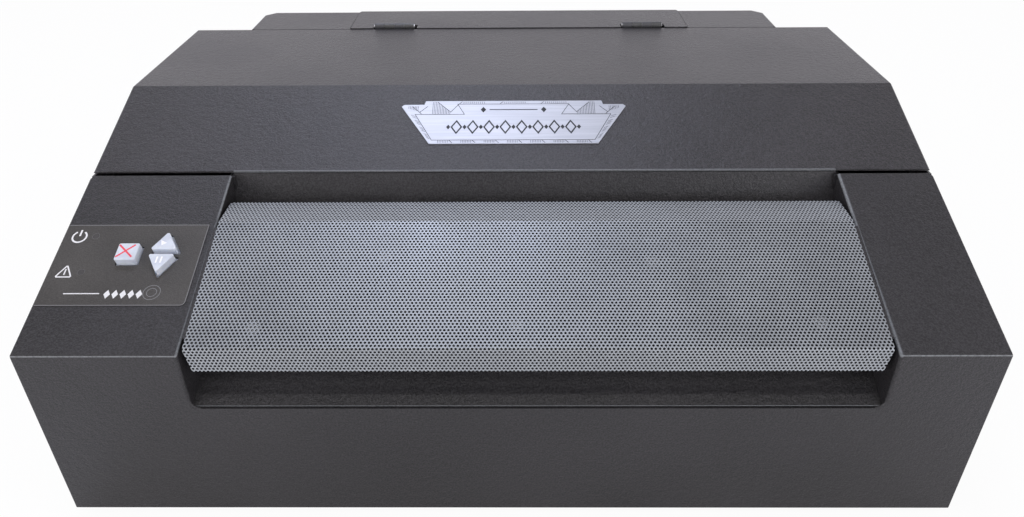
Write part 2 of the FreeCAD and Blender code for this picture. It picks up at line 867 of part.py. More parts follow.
def grown(outline, amount):
    """Outline moved outwards by an amount, for outlines listed anticlockwise."""
    count = len(outline)
    result = []
    for i in range(count):
        ax, ay = outline[i - 1]
        bx, by = outline[i]
        cx, cy = outline[(i + 1) % count]
        u = V(bx - ax, by - ay, 0).normalize()
        w = V(cx - bx, cy - by, 0).normalize()
        n = V(u.y, -u.x, 0)
        m = V(w.y, -w.x, 0)
        shift = (n + m) * (amount / (1 + n.dot(m)))
        result.append((bx + shift.x, by + shift.y))
    return result


def corner_radii(outline, radius):
    return {i: radius for i in range(len(outline))}


def key_hole(outline):
    wide = grown(outline, key_gap)
    return slope_prism(wide, -3 * sheet, 3 * sheet, corner_radii(wide, key_corner))


def make_key(name):
    """Cap that passes through the deck, with a flange underneath and a stem to the switch."""
    outline = key_outlines()[name]
    flange_top = -sheet - 0.15
    cap = slope_prism(outline, flange_top, key_height, corner_radii(outline, key_corner))
    top = key_height
    cap = rounded_edges(cap, key_corner / 2, lambda a, b: near((a - on_slope(0, 0, top)).dot(slope_up), 0)
                        and near((b - on_slope(0, 0, top)).dot(slope_up), 0))
    flange = slope_prism(grown(outline, key_flange), flange_top - key_flange_thick, flange_top,
                         corner_radii(outline, key_corner))
    x = sum(p[0] for p in outline) / len(outline)
    s = sum(p[1] for p in outline) / len(outline)
    stem_end = -board_depth + switch_height + key_travel + 0.3
    stem = rod(on_slope(x, s, stem_end), slope_up, 2.0, flange_top - key_flange_thick - stem_end)
    return joined(cap, flange, stem)


switch_height = 4.3


def label_edges():
    left = -half_width + edge_radius
    right = recess_left - label_right_margin
    return left, right


def make_label():
    """Thin printed overlay around the keys and lamps."""
    left, right = label_edges()
    outline = [(left, label_low), (right, label_low), (right, label_high), (left, label_high)]
    label = slope_prism(outline, 0.0, label_thick, {1: label_corner})
    cuts = [key_hole(o) for o in key_outlines().values()]
    cuts += [rod(on_slope(lamp_x, row, -sheet), slope_up, lamp_radius, 3 * sheet)
             for row in lamp_rows]
    return label.cut(cuts)


def make_lamps():
    """Two light guides from the board to flush windows in the label."""
    length = board_depth + label_thick
    return group([rod(on_slope(lamp_x, row, -board_depth), slope_up, lamp_radius, length)
                  for row in lamp_rows])


def make_switch_board():
    """Board under the deck with three switches, on four posts."""
    left = lamp_x - board_margin
    right = arrow_x + arrow_width / 2 + board_margin
    low = lamp_rows[1] - board_margin
    high = lamp_rows[0] + board_margin
    outline = [(left, low), (right, low), (right, high), (left, high)]
    board = slope_prism(outline, -board_depth - board_thick, -board_depth)
    parts = [board]
    for outline in key_outlines().values():
        x = sum(p[0] for p in outline) / len(outline)
        s = sum(p[1] for p in outline) / len(outline)
        switch = [(x - 3, s - 3), (x + 3, s - 3), (x + 3, s + 3), (x - 3, s + 3)]
        body = slope_prism(switch, -board_depth, -board_depth + switch_height - 1)
        plunger = rod(on_slope(x, s, -board_depth), slope_up, 1.7, switch_height)
        parts += [body, plunger]
    for x in (left + 3, right - 3):
        for s in (low + 3, high - 3):
            parts.append(rod(on_slope(x, s, -board_depth), slope_up, 2.0, board_depth - sheet))
    return joined(*parts)


# Side frames and the fixed parts of the mechanism
frame_rear_y = panel_y - frame_rear_gap
shelf_z = head_rod_z - shelf_drop
motor_x = frame_left - frame_thick - motor_offset
idler_x = frame_right + frame_thick + idler_offset
pinion_z = drive_z - gear_module * (drive_teeth + pinion_teeth) / 2


def x_rod(x0, x1, y, z, radius):
    return rod(V(x0, y, z), V(1, 0, 0), radius, x1 - x0)


def make_frame(side):
    """Steel side frame that carries the shafts, with a shelf for the head's drive."""
    if side < 0:
        x1 = frame_left
        x0 = x1 - frame_thick
    else:
        x0 = frame_right
        x1 = x0 + frame_thick
    low_y = exit_y - exit_radius - 4
    upper = [(frame_front, sheet), (frame_front, slope_under(frame_front, sheet) - 30),
             (low_y, slope_under(low_y, sheet) - frame_clear),
             (ridge_y, top_z - sheet - frame_clear), (frame_rear_y, top_z - sheet - frame_clear),
             (frame_rear_y, sheet)]
    plate = side_prism(upper, x0, x1)
    foot_x = sorted((x0 if side < 0 else x1, (x0 if side < 0 else x1) + side * frame_foot))
    foot = box(foot_x[0], foot_x[1], frame_front, frame_rear_y, sheet, sheet + frame_thick)
    solids = [foot]
    holes = []
    for y, z, radius in ((front_rod_y, head_rod_z, rod_radius), (rear_rod_y, head_rod_z, rod_radius),
                         (rod_y, drive_z, rod_radius),
                         (drive_y, drive_z, journal_radius + run_fit + bush_wall),
                         (exit_y, exit_z, roller_journal + run_fit + bush_wall),
                         (exit_y, pinch_z, roller_journal + run_fit + bush_wall - 1.0)):
        holes.append(x_rod(x0 - 1, x1 + 1, y, z, radius))
    slot_half = timing_radius + belt_thick + 1.6
    holes.append(box(x0 - 1, x1 + 1, head_belt_y - slot_half, head_belt_y + slot_half,
                     shelf_z + 1.0, shelf_z + shelf_thick + timing_height + 2))
    if side < 0:
        shelf_x0 = motor_x - motor_side / 2
        shelf = box(shelf_x0, x0, head_belt_y - motor_side / 2, head_belt_y + motor_side / 2,
                    shelf_z - shelf_thick, shelf_z)
        holes.append(rod(V(motor_x, head_belt_y, shelf_z - 2 * shelf_thick), V(0, 0, 1),
                         motor_shaft + 1.0, 4 * shelf_thick))
        solids.append(shelf)
    else:
        shelf = box(x1, idler_x + timing_radius + 4, head_belt_y - 12, head_belt_y + 12,
                    shelf_z - shelf_thick, shelf_z)
        post = rod(V(idler_x, head_belt_y, shelf_z - shelf_thick), V(0, 0, 1), motor_shaft,
                   shelf_thick + timing_height + 4)
        solids += [shelf, post]
        holes.append(x_rod(x0 - 1, x1 + 1, drive_y, pinion_z, feed_boss))
    return joined(plate, *solids).cut(holes)


def make_guide_rods():
    """Three equal ground rods: two for the head and one for the tractors."""
    x0 = frame_left - frame_thick
    x1 = frame_right + frame_thick
    return group([x_rod(x0, x1, y, z, rod_radius) for y, z in (
        (front_rod_y, head_rod_z), (rear_rod_y, head_rod_z), (rod_y, drive_z))])


def bush(x, side, y, z, bore, wall):
    """Flanged bush pressed into a side frame from its outer side."""
    direction = V(side, 0, 0)
    sleeve = tube(V(x, y, z), direction, bore + wall, bore, frame_thick)
    outside = V(x + side * frame_thick, y, z)
    flange = tube(outside, direction, bore + wall + 1.5, bore, bush_flange)
    return joined(sleeve, flange)


def make_bushes():
    pieces = []
    for x, side in ((frame_left, -1), (frame_right, 1)):
        pieces.append(bush(x, side, drive_y, drive_z, journal_radius + run_fit, bush_wall))
        pieces.append(bush(x, side, exit_y, exit_z, roller_journal + run_fit, bush_wall))
        pieces.append(bush(x, side, exit_y, pinch_z, roller_journal + run_fit, bush_wall - 1.0))
    return group(pieces)


def make_anvil():
    """Beam with a flat paper bed on top and two grooves under the punches."""
    high = paper_z - anvil_gap
    y0 = exit_y + exit_radius + 3
    y1 = drive_y - wheel_radius - pin_height - 7
    bed = box(frame_left, frame_right, y0, y1, high - bed_thick, high)
    beam = box(frame_left, frame_right, head_y - anvil_depth / 2, head_y + anvil_depth / 2,
               high - anvil_height, high)
    grooves = []
    for side in (-1, 1):
        y = head_y + side * head_rows / 2
        grooves.append(side_prism([(y - 1.2, high + 0.1), (y + 1.2, high + 0.1),
                                   (y, high - groove_depth)], frame_left - 1, frame_right + 1))
    return joined(bed, beam).cut(grooves)


def make_paper_guide():
    """Curved sheet that leads the paper from under the hood up to the tractors."""
    z1 = paper_z - anvil_gap
    y0 = rod_y + guide_setback
    y1 = panel_y + guide_reach
    x0 = frame_left + guide_side_gap
    x1 = frame_right - guide_side_gap
    t = bed_thick
    outer = guide_bend
    corner = [(y0, z1), (y1 + outer, z1), (y1 + outer, z1 - 2 * outer),
              (y1 + outer - t, z1 - 2 * outer), (y1 + outer - t, z1 - t), (y0, z1 - t)]
    return side_prism(corner, x0, x1, {1: outer, 4: outer - t})


# Embossing head
head_plate_z = head_rod_z + rod_radius + 1


def punch_places():
    return [(head_x + i * head_columns, head_y + j * head_rows / 2)
            for i in (-1, 0, 1) for j in (-1, 1)]


def make_head_carriage():
    """Bridge on the two rods, with the punch guide hanging between them."""
    x0 = head_x - head_width / 2
    x1 = head_x + head_width / 2
    low = head_rod_z - head_block / 2
    parts = [box(x0, x1, front_rod_y - head_block / 2, rear_rod_y + head_block / 2,
                 head_plate_z, head_plate_z + head_plate)]
    for y in (front_rod_y, rear_rod_y):
        parts.append(box(x0, x1, y - head_block / 2, y + head_block / 2, low, head_plate_z))
    guide_low = paper_z + punch_rest + 3.5
    parts.append(box(x0 + 5, x1 - 5, head_y - head_rows, head_y + head_rows, guide_low,
                     head_plate_z))
    belt_y = head_belt_y + timing_radius + belt_thick / 2 + belt_clear
    parts.append(box(head_x - 9, head_x + 9, belt_y, front_rod_y - head_block / 2,
                     shelf_z + shelf_thick, shelf_z + shelf_thick + belt_width))
    cuts = [x_rod(x0 - 1, x1 + 1, y, head_rod_z, rod_radius + run_fit)
            for y in (front_rod_y, rear_rod_y)]
    top = head_plate_z + head_plate
    cuts += [rod(V(x, y, guide_low - 1), V(0, 0, 1), punch_radius + punch_fit,
                 top - guide_low + 2) for x, y in punch_places()]
    return joined(*parts).cut(cuts)


def make_solenoids():
    """One coil over each punch, with a wider cap at both ends."""
    coils = []
    z0 = head_plate_z + head_plate
    for x, y in punch_places():
        coil = rod(V(x, y, z0), V(0, 0, 1), solenoid_radius - 0.8, solenoid_height)
        ends = [rod(V(x, y, z), V(0, 0, 1), solenoid_radius, 1.5)
                for z in (z0, z0 + solenoid_height - 1.5)]
        coils.append(joined(coil, *ends))
    return group(coils)


def make_punches():
    z0 = paper_z + punch_rest
    tip = 1.2
    length = head_plate_z + head_plate - 0.5 - z0 - tip
    pins = []
    for x, y in punch_places():
        point = Part.makeCone(punch_radius / 2, punch_radius, tip, V(x, y, z0))
        pins.append(joined(point, rod(V(x, y, z0 + tip), V(0, 0, 1), punch_radius, length)))
    return group(pins)


def belt_loop(x_or_y, centres, radii, width, thick):
    """Loop round two pulleys. centres are (u, v) pairs in the plane across the axes."""
    (ua, va), (ub, vb) = centres
    ra, rb = radii
    span = math.hypot(ub - ua, vb - va)
    lean = math.asin((ra - rb) / span)
    heading = math.atan2(vb - va, ub - ua)

    def outline(extra):
        points = []
        for side in (1, -1):
            angle = heading + side * (math.pi / 2 - lean)
            points.append((ua + (ra + extra) * math.cos(angle), va + (ra + extra) * math.sin(angle)))
            points.append((ub + (rb + extra) * math.cos(angle), vb + (rb + extra) * math.sin(angle)))
        far_b = (ub + (rb + extra) * math.cos(heading), vb + (rb + extra) * math.sin(heading))
        far_a = (ua - (ra + extra) * math.cos(heading), va - (ra + extra) * math.sin(heading))
        a1, b1, a2, b2 = [x_or_y(p) for p in points]
        edges = [Part.makeLine(a1, b1), Part.Arc(b1, x_or_y(far_b), b2).toShape(),
                 Part.makeLine(b2, a2), Part.Arc(a2, x_or_y(far_a), a1).toShape()]
        return Part.Face(Part.Wire(edges))

    ring = outline(belt_clear + thick).cut(outline(belt_clear))
    return ring.extrude(width)


def make_head_belt():
    """Toothed belt loop that pulls the head, lying flat above both shelves."""
    z = shelf_z + shelf_thick
    return belt_loop(lambda p: V(p[0], p[1], z), ((motor_x, head_belt_y), (idler_x, head_belt_y)),
                     (timing_radius - belt_clear - belt_thick / 2,
                      timing_radius - belt_clear - belt_thick / 2),
                     V(0, 0, belt_width), belt_thick)


def pulley_z(x, y, bore):
    """Flanged pulley with an upright axis, standing just over its shelf."""
    z = shelf_z + shelf_thick - 1.0
    core = rod(V(x, y, z), V(0, 0, 1), timing_radius - belt_clear - belt_thick / 2, timing_height)
    rims = [rod(V(x, y, z - 0.3), V(0, 0, 1), timing_radius + flange_rim, pulley_rim),
            rod(V(x, y, z + timing_height - pulley_rim), V(0, 0, 1), timing_radius + flange_rim,
                pulley_rim)]
    whole = joined(core, *rims)
    if bore:
        whole = whole.cut(rod(V(x, y, z - 5), V(0, 0, 1), bore, timing_height + 10))
    return whole


def make_head_drive_pulley():
    """Pulley and the motor shaft that carries it."""
    shaft = rod(V(motor_x, head_belt_y, shelf_z - shelf_thick - 8), V(0, 0, 1), motor_shaft,
                timing_height + shelf_thick * 2 + 8)
    return joined(pulley_z(motor_x, head_belt_y, 0), shaft)


def make_head_idler_pulley():
    return pulley_z(idler_x, head_belt_y, motor_shaft + run_fit)


def make_head_motor():
    """Square stepping motor hanging under the left shelf."""
    z1 = shelf_z - shelf_thick
    half = motor_side / 2
    outline = [V(motor_x - half, head_belt_y - half, z1), V(motor_x + half, head_belt_y - half, z1),
               V(motor_x + half, head_belt_y + half, z1), V(motor_x - half, head_belt_y + half, z1)]
    caps = rounded_face(outline, {0: 4.0, 1: 4.0, 2: 4.0, 3: 4.0}).extrude(V(0, 0, -motor_length))
    groove_low = z1 - motor_length + 9
    band = box(motor_x - half - 1, motor_x + half + 1, head_belt_y - half - 1,
               head_belt_y + half + 1, groove_low, z1 - 9)
    core = box(motor_x - half + 1.2, motor_x + half - 1.2, head_belt_y - half + 1.2,
               head_belt_y + half - 1.2, groove_low - 1, z1 - 8)
    body = caps.cut(band.cut(core))
    return body.cut(rod(V(motor_x, head_belt_y, z1 - 9), V(0, 0, 1), motor_shaft + run_fit, 10))


# Paper feed
tractor_left = frame_left + tractor_inset
tractor_right = frame_right - tractor_inset


def square_rod(x0, x1, side):
    half = side / 2
    return box(x0, x1, drive_y - half, drive_y + half, drive_z - half, drive_z + half)


def make_drive_shaft():
    """Square shaft with round journals, carrying the belt pulley at its left end."""
    x0 = frame_left
    x1 = frame_right
    left_end = x0 - frame_thick - bush_flange
    right_end = x1 + frame_thick + bush_flange + gear_standoff + gear_width
    square = square_rod(x0 + 0.5, x1 - 0.5, shaft_side)
    journals = x_rod(left_end - belt_width - 3, right_end, drive_y, drive_z, journal_radius)
    inner = pulley_radius - belt_clear
    pulley = x_rod(left_end - belt_width - 2.5, left_end - 0.5, drive_y, drive_z, inner)
    rim = x_rod(left_end - belt_width - 2.5 - pulley_rim, left_end - belt_width - 2.5, drive_y,
                drive_z, pulley_radius + flange_rim)
    return joined(square, journals, pulley, rim)


def gear_face(teeth, module, first_angle, bore):
    """Spur gear outline with straight-sided teeth that fit each other with backlash."""
    pitch_radius = module * teeth / 2
    tip = pitch_radius + module
    root = pitch_radius - 1.25 * module
    step = 2 * math.pi / teeth
    thick = step / 4 - gear_backlash / 2 / pitch_radius / 2
    slant = math.radians(20)
    tip_half = thick - (tip - pitch_radius) * math.tan(slant) / pitch_radius
    root_half = thick + (pitch_radius - root) * math.tan(slant) / pitch_radius
    root_half = min(root_half, step / 2 * 0.95)
    points = []
    for i in range(teeth):
        middle = first_angle + i * step
        for radius, angle in ((root, -root_half), (tip, -tip_half), (tip, tip_half),
                              (root, root_half)):
            a = middle + angle
            points.append(V(0, radius * math.cos(a), radius * math.sin(a)))
    face = polygon_face(points)
    return face.cut(Part.Face(Part.Wire(Part.makeCircle(bore, V(0, 0, 0), V(1, 0, 0)))))


def make_drive_gear():
    """Large spur gear on the right end of the drive shaft, with lightening holes."""
    x0 = frame_right + frame_thick + bush_flange + gear_standoff
    face = gear_face(drive_teeth, gear_module, -math.pi / 2, journal_radius)
    gear = face.extrude(V(gear_width, 0, 0)).translated(V(x0, drive_y, drive_z))
    hub = tube(V(x0 - gear_standoff + 0.5, drive_y, drive_z), V(1, 0, 0), hub_radius,
               journal_radius, gear_standoff)
    ring = gear_module * drive_teeth / 2 * 0.58
    holes = []
    for i in range(6):
        a = math.pi / 3 * i
        holes.append(x_rod(x0 - 1, x0 + gear_width + 1, drive_y + ring * math.cos(a),
                           drive_z + ring * math.sin(a), ring * 0.36))
    return joined(gear.cut(holes), hub)


def make_feed_pinion():
    """Pinion and the motor shaft that carries it."""
    x0 = frame_right + frame_thick + bush_flange + gear_standoff
    half_step = math.pi / pinion_teeth
    face = gear_face(pinion_teeth, gear_module, math.pi / 2 + half_step, motor_shaft)
    gear = face.extrude(V(gear_width, 0, 0)).translated(V(x0, drive_y, pinion_z))
    shaft = x_rod(frame_right - 12, x0 + gear_width + 1, drive_y, pinion_z, motor_shaft)
    return joined(gear, shaft)


def make_feed_motor():
    """Square stepping motor on the inside of the right frame."""
    x1 = frame_right
    half = feed_motor_side / 2
    outline = [V(x1, drive_y - half, pinion_z - half), V(x1, drive_y + half, pinion_z - half),
               V(x1, drive_y + half, pinion_z + half), V(x1, drive_y - half, pinion_z + half)]
    body = rounded_face(outline, {0: 5.0, 1: 5.0, 2: 5.0, 3: 5.0})
    body = body.extrude(V(-feed_motor_length, 0, 0))
    boss = x_rod(x1, x1 + frame_thick, drive_y, pinion_z, feed_boss)
    bore = x_rod(x1 - 13, x1 + 2 * frame_thick, drive_y, pinion_z, motor_shaft + run_fit)
    return joined(body, boss).cut(bore)


def make_pin_wheel(x):
    """Wheel with feed pins, on a hub with a square bore."""
    half = wheel_width / 2
    hub_half = half + cheek_gap + cheek_thick
    rim = x_rod(x - half, x + half, drive_y, drive_z, wheel_radius - anvil_gap)
    hub = x_rod(x - hub_half, x + hub_half, drive_y, drive_z, hub_radius)
    pins = []
    for i in range(pin_count):
        a = 2 * math.pi * i / pin_count + math.pi / 2
        direction = V(0, math.cos(a), math.sin(a))
        start = V(x, drive_y, drive_z) + direction * (wheel_radius - 2.5)
        pins.append(Part.makeCone(pin_radius, pin_radius * 0.55, pin_height + 2.5, start, direction))
    bore = square_rod(x - hub_half - 1, x + hub_half + 1, shaft_side + 2 * shaft_fit)
    return joined(rim, hub, *pins).cut(bore)


def make_tractor(x, side):
    """Two cheeks round the pin wheel, a sleeve on the guide rod and lugs for the door."""
    inner = wheel_width / 2 + cheek_gap
    outer = inner + cheek_thick
    reach = wheel_radius + pin_height + 1
    front = drive_y - reach - 2
    low = drive_z - tractor_drop
    high = paper_z - 0.6
    rear = rod_y + 9
    outline = [(front, low + 4), (front, high), (drive_y + reach + 3, high),
               (rear, drive_z + 9), (rear, drive_z - 9), (drive_y + reach, low), (front + 4, low)]
    parts = []
    for x0 in (x - outer, x + inner):
        parts.append(side_prism(outline, x0, x0 + cheek_thick))
    parts.append(box(x - outer, x + outer, front, front + 2, drive_z - 8, drive_z + 8))
    parts.append(x_rod(x - outer, x + outer, rod_y, drive_z, hub_radius - 0.5))
    tail = sorted((x + side * outer, x + side * (outer + lever_thick + 1.0)))
    parts.append(x_rod(tail[0], tail[1], rod_y, drive_z, hub_radius - 0.5))
    hinge_x = x + side * door_hinge_offset
    for y in (drive_y - door_length / 2 - 3.4, drive_y + door_length / 2 + 0.4):
        xs = sorted((hinge_x - side * 2.2, hinge_x + side * door_barrel))
        parts.append(box(xs[0], xs[1], y, y + 3, high - 6, door_z + door_barrel))
    bodies = joined(*parts)
    cuts = [x_rod(x - 20, x + 20, rod_y, drive_z, rod_radius + run_fit),
            x_rod(x - 20, x + 20, drive_y, drive_z, hub_radius + run_fit)]
    bodies = bodies.cut(cuts)
    pin = rod(V(hinge_x, drive_y - door_length / 2 - 3.4, door_z), V(0, 1, 0), door_pin,
              door_length + 6.8)
    return joined(bodies, pin)


door_hinge_offset = wheel_width / 2 + cheek_gap + cheek_thick + 1.2
door_z = paper_z + door_lift + door_thick / 2


def make_door(x, side):
    """Lid over the pins, hinged on its outer edge."""
    hinge_x = x + side * door_hinge_offset
    far = hinge_x - side * door_reach
    xs = sorted((hinge_x, far))
    y0 = drive_y - door_length / 2
    y1 = drive_y + door_length / 2
    plate = box(xs[0], xs[1], y0, y1, door_z - door_thick / 2, door_z + door_thick / 2)
    barrel = rod(V(hinge_x, y0, door_z), V(0, 1, 0), door_barrel, door_length)
    slot = box(x - pin_radius - 1, x + pin_radius + 1, y0 + 4, y1 - 4, door_z - 5, door_z + 5)
    pin_way = rod(V(hinge_x, y0 - 1, door_z), V(0, 1, 0), door_pin + run_fit, door_length + 2)
    return joined(plate, barrel).cut([slot, pin_way])


def make_lever(x, side):
    """Ring with a thumb arm that clamps the tractor to its rod."""
    x0 = x + side * (wheel_width / 2 + cheek_gap + cheek_thick + 0.3)
    bore = hub_radius - 0.5 + run_fit
    direction = V(side, 0, 0)
    ring = rod(V(x0, rod_y, drive_z), direction, bore + lever_ring, lever_thick)
    a = math.radians(lever_angle)
    along = V(0, math.cos(a), math.sin(a))
    across = V(0, -math.sin(a), math.cos(a))
    centre = V(x0, rod_y, drive_z)
    width = lever_ring
    outline = [centre + across * width, centre - across * width,
               centre + along * lever_length - across * width,
               centre + along * lever_length + across * width]
    arm = rounded_face(outline, {2: 1.5, 3: 1.5}).extrude(direction * lever_thick)
    hole = rod(V(x0 - side, rod_y, drive_z), direction, bore, lever_thick + 2)
    return joined(ring, arm).cut(hole)


def make_feed_belt():
    """Belt from the drive shaft to the exit roller, outside the left frame."""
    x1 = frame_left - frame_thick - bush_flange - 1.0
    centres = ((drive_y, drive_z), (exit_y, exit_z))
    radii = (pulley_radius - belt_clear, pulley_radius / pulley_ratio - belt_clear)
    return belt_loop(lambda p: V(x1, p[0], p[1]), centres, radii, V(-belt_width, 0, 0), belt_thick)


def make_exit_roller():
    """Rubber-covered roller with journals, and its belt pulley at the left end."""
    x0 = frame_left + roller_side_gap
    x1 = frame_right - roller_side_gap
    left_end = frame_left - frame_thick - bush_flange
    right_end = frame_right + frame_thick + bush_flange + 1
    roll = x_rod(x0, x1, exit_y, exit_z, exit_radius)
    journal = x_rod(left_end - belt_width - 3, right_end, exit_y, exit_z, roller_journal)
    inner = pulley_radius / pulley_ratio - belt_clear
    pulley = x_rod(left_end - belt_width - 2.5, left_end - 0.5, exit_y, exit_z, inner)
    rim = x_rod(left_end - belt_width - 2.5 - pulley_rim, left_end - belt_width - 2.5, exit_y,
                exit_z, inner + flange_rim)
    return joined(roll, journal, pulley, rim)


def make_pinch_roller():
    """Thin shaft with a row of small wheels that press the paper on the exit roller."""
    x0 = frame_left - frame_thick - bush_flange
    x1 = frame_right + frame_thick + bush_flange
    shaft = x_rod(x0, x1, exit_y, pinch_z, roller_journal)
    span = frame_right - frame_left - 2 * roller_side_gap - pinch_width
    wheels = []
    for i in range(pinch_count):
        start = frame_left + roller_side_gap + span * i / (pinch_count - 1)
        wheels.append(x_rod(start, start + pinch_width, exit_y, pinch_z, pinch_radius))
    return joined(shaft, *wheels)


# Electronics and services
def make_supply():
    """Closed power supply box with a slotted lid and four feet on the pan."""
    x0 = frame_left + supply_gap
    y0 = panel_y / 2 + supply_setback
    w, d, h = supply_size
    body = box(x0, x0 + w, y0, y0 + d, sheet + 3, sheet + h)
    slots = [box(x0 + 14 + 9 * i, x0 + 17 + 9 * i, y0 + 15, y0 + d - 15, sheet + h - 1, sheet + h + 1)
             for i in range(int((w - 28) / 9) + 1)]
    feet = [box(x, x + 8, y, y + 8, sheet, sheet + 3)
            for x in (x0 + 4, x0 + w - 12) for y in (y0 + 4, y0 + d - 12)]
    return joined(body.cut(slots), *feet)


def make_main_board():
    """Control board on posts, with its chips, capacitors, plugs and a finned heat sink."""
    w, d = board_size
    x0 = ports_x - w / 2 - board_shift
    y0 = panel_y - board_setback - d
    z0 = sheet + board_rise
    z1 = z0 + board_thick
    inset = board_post_inset
    parts = [box(x0, x0 + w, y0, y0 + d, z0, z1)]
    parts += [rod(V(x, y, sheet), V(0, 0, 1), board_post_radius, board_rise)
              for x in (x0 + inset, x0 + w - inset) for y in (y0 + inset, y0 + d - inset)]
    for x, y, long, wide, tall in board_chips:
        parts.append(box(x0 + x, x0 + x + long, y0 + y, y0 + y + wide, z1, z1 + tall))
    x, y = can_place
    parts += [rod(V(x0 + x + can_pitch * i, y0 + y, z1), V(0, 0, 1), can_radius, can_height)
              for i in range(3)]
    x = x0 + sink_place[0]
    y = y0 + sink_place[1]
    long, wide = sink_size
    parts.append(box(x, x + long, y, y + wide, z1, z1 + sink_base))
    fin_pitch = (wide - fin_thick) / (fin_count - 1)
    for i in range(fin_count):
        fin_y = y + fin_pitch * i
        parts.append(box(x, x + long, fin_y, fin_y + fin_thick, z1, z1 + sink_base + fin_height))
    x = x0 + plug_place[0]
    y = y0 + plug_place[1]
    long, wide, tall = plug_size
    parts += [box(x + plug_pitch * i, x + plug_pitch * i + long, y, y + wide, z1, z1 + tall)
              for i in range(3)]
    return joined(*parts)


port_list = [(ports_x + offset, width, height) for offset, width, height in port_sizes]


def port_hole(x, w, h):
    return box(x - w / 2, x + w / 2, panel_y - 1, panel_y + sheet + 1, ports_z - h / 2,
               ports_z + h / 2)


def make_ports():
    """Three data sockets: shells with a tongue inside, seated in the rear panel."""
    pieces = []
    wall = port_wall
    for x, width, height in port_list:
        w = width / 2 - port_fit
        h = height / 2 - port_fit
        y0 = panel_y - port_depth
        y1 = panel_y + sheet + port_stand
        shell = box(x - w, x + w, y0, y1, ports_z - h, ports_z + h)
        hollow = box(x - w + wall, x + w - wall, y0 + port_back, y1 + 1, ports_z - h + wall,
                     ports_z + h - wall)
        tongue = box(x - w * 0.6, x + w * 0.6, y0 + port_back - 0.1, y1 - 2, ports_z - 0.9, ports_z + 0.9)
        foot = box(x - w, x + w, y0, panel_y - board_setback + 0.5,
                   sheet + board_rise + board_thick, ports_z - h)
        pieces.append(joined(shell.cut(hollow), tongue, foot))
    return group(pieces)


def make_fan_frame():
    """Square fan housing on the rear panel, with three struts to the hub plate."""
    z = fan_z
    y1 = panel_y
    half = fan_side / 2
    body = box(fan_x - half, fan_x + half, y1 - fan_depth, y1, z - half, z + half)
    body = body.cut(rod(V(fan_x, y1 - fan_depth - 1, z), V(0, 1, 0), fan_bore + 0.8, fan_depth + 2))
    hub = rod(V(fan_x, y1 - fan_depth, z), V(0, 1, 0), fan_hub, 2.5)
    axle = rod(V(fan_x, y1 - fan_depth, z), V(0, 1, 0), 1.5, fan_depth - 5)
    struts = []
    for i in range(3):
        strut = box(fan_x - 1.2, fan_x + 1.2, y1 - fan_depth, y1 - fan_depth + 2.5, z,
                    z + fan_bore + 2)
        strut.rotate(V(fan_x, 0, z), V(0, 1, 0), 120 * i + 60)
        struts.append(strut)
    stand = box(fan_x - half, fan_x + half, y1 - fan_depth, y1 - fan_depth + 4, sheet, z - half)
    return joined(body, hub, axle, stand, *struts)


def make_fan_rotor():
    z = fan_z
    y0 = panel_y - fan_depth + 3.2
    y1 = panel_y - 2.5
    hub = rod(V(fan_x, y0, z), V(0, 1, 0), fan_hub, y1 - y0)
    blades = []
    for i in range(fan_blades):
        blade = box(fan_x - 0.8, fan_x + 0.8, y0 + 1, y1 - 1, z + fan_hub - 1.5, z + fan_bore - 1)
        blade.rotate(V(fan_x, (y0 + y1) / 2, z), V(0, 0, 1), 35)
        blade.rotate(V(fan_x, 0, z), V(0, 1, 0), 360.0 / fan_blades * i)
        blades.append(blade)
    bore = rod(V(fan_x, y0 - 1, z), V(0, 1, 0), 1.5 + run_fit, y1 - y0 - 1)
    rotor = joined(hub, *blades)
    ring = tube(V(fan_x, y0 - 2, z), V(0, 1, 0), fan_bore + 10, fan_bore - 0.4, y1 - y0 + 4)
    return rotor.cut([bore, ring])


rocker_x = entry_x + entry_width / 2 - 13.0
inlet_x = entry_x - entry_width / 2 + 19.0
rocker_half_width = 5.0
rocker_half_height = 8.5


def make_power_entry():
    """Moulded mains inlet with three pins, and the well for the switch beside it."""
    y1 = panel_y + sheet
    w = entry_width / 2 - 0.1
    h = entry_height / 2 - 0.1
    body = box(entry_x - w, entry_x + w, y1 - entry_depth, y1, entry_z - h, entry_z + h)
    flange = box(entry_x - w - 2.5, entry_x + w + 2.5, y1, y1 + 2, entry_z - h - 2.5,
                 entry_z + h + 2.5)
    well = [V(inlet_x - 12, y1 - 16, entry_z - 8), V(inlet_x + 12, y1 - 16, entry_z - 8),
            V(inlet_x + 12, y1 - 16, entry_z + 4), V(inlet_x + 8, y1 - 16, entry_z + 8),
            V(inlet_x - 8, y1 - 16, entry_z + 8), V(inlet_x - 12, y1 - 16, entry_z + 4)]
    cavity = polygon_face(well).extrude(V(0, 20, 0))
    pins = [box(inlet_x + dx - 1, inlet_x + dx + 1, y1 - 16.1, y1 - 3, entry_z + dz - 2,
                entry_z + dz + 2) for dx, dz in ((-7, -2), (0, 2), (7, -2))]
    switch_well = box(rocker_x - rocker_half_width - 0.4, rocker_x + rocker_half_width + 0.4,
                      y1 - 14, y1 + 5, entry_z - rocker_half_height - 2.2,
                      entry_z + rocker_half_height + 2.2)
    whole = joined(body, flange).cut([cavity, switch_well])
    axle = x_rod(rocker_x - rocker_half_width - 1, rocker_x + rocker_half_width + 1, y1 - 4,
                 entry_z, 1.2)
    return joined(whole, axle, *pins)


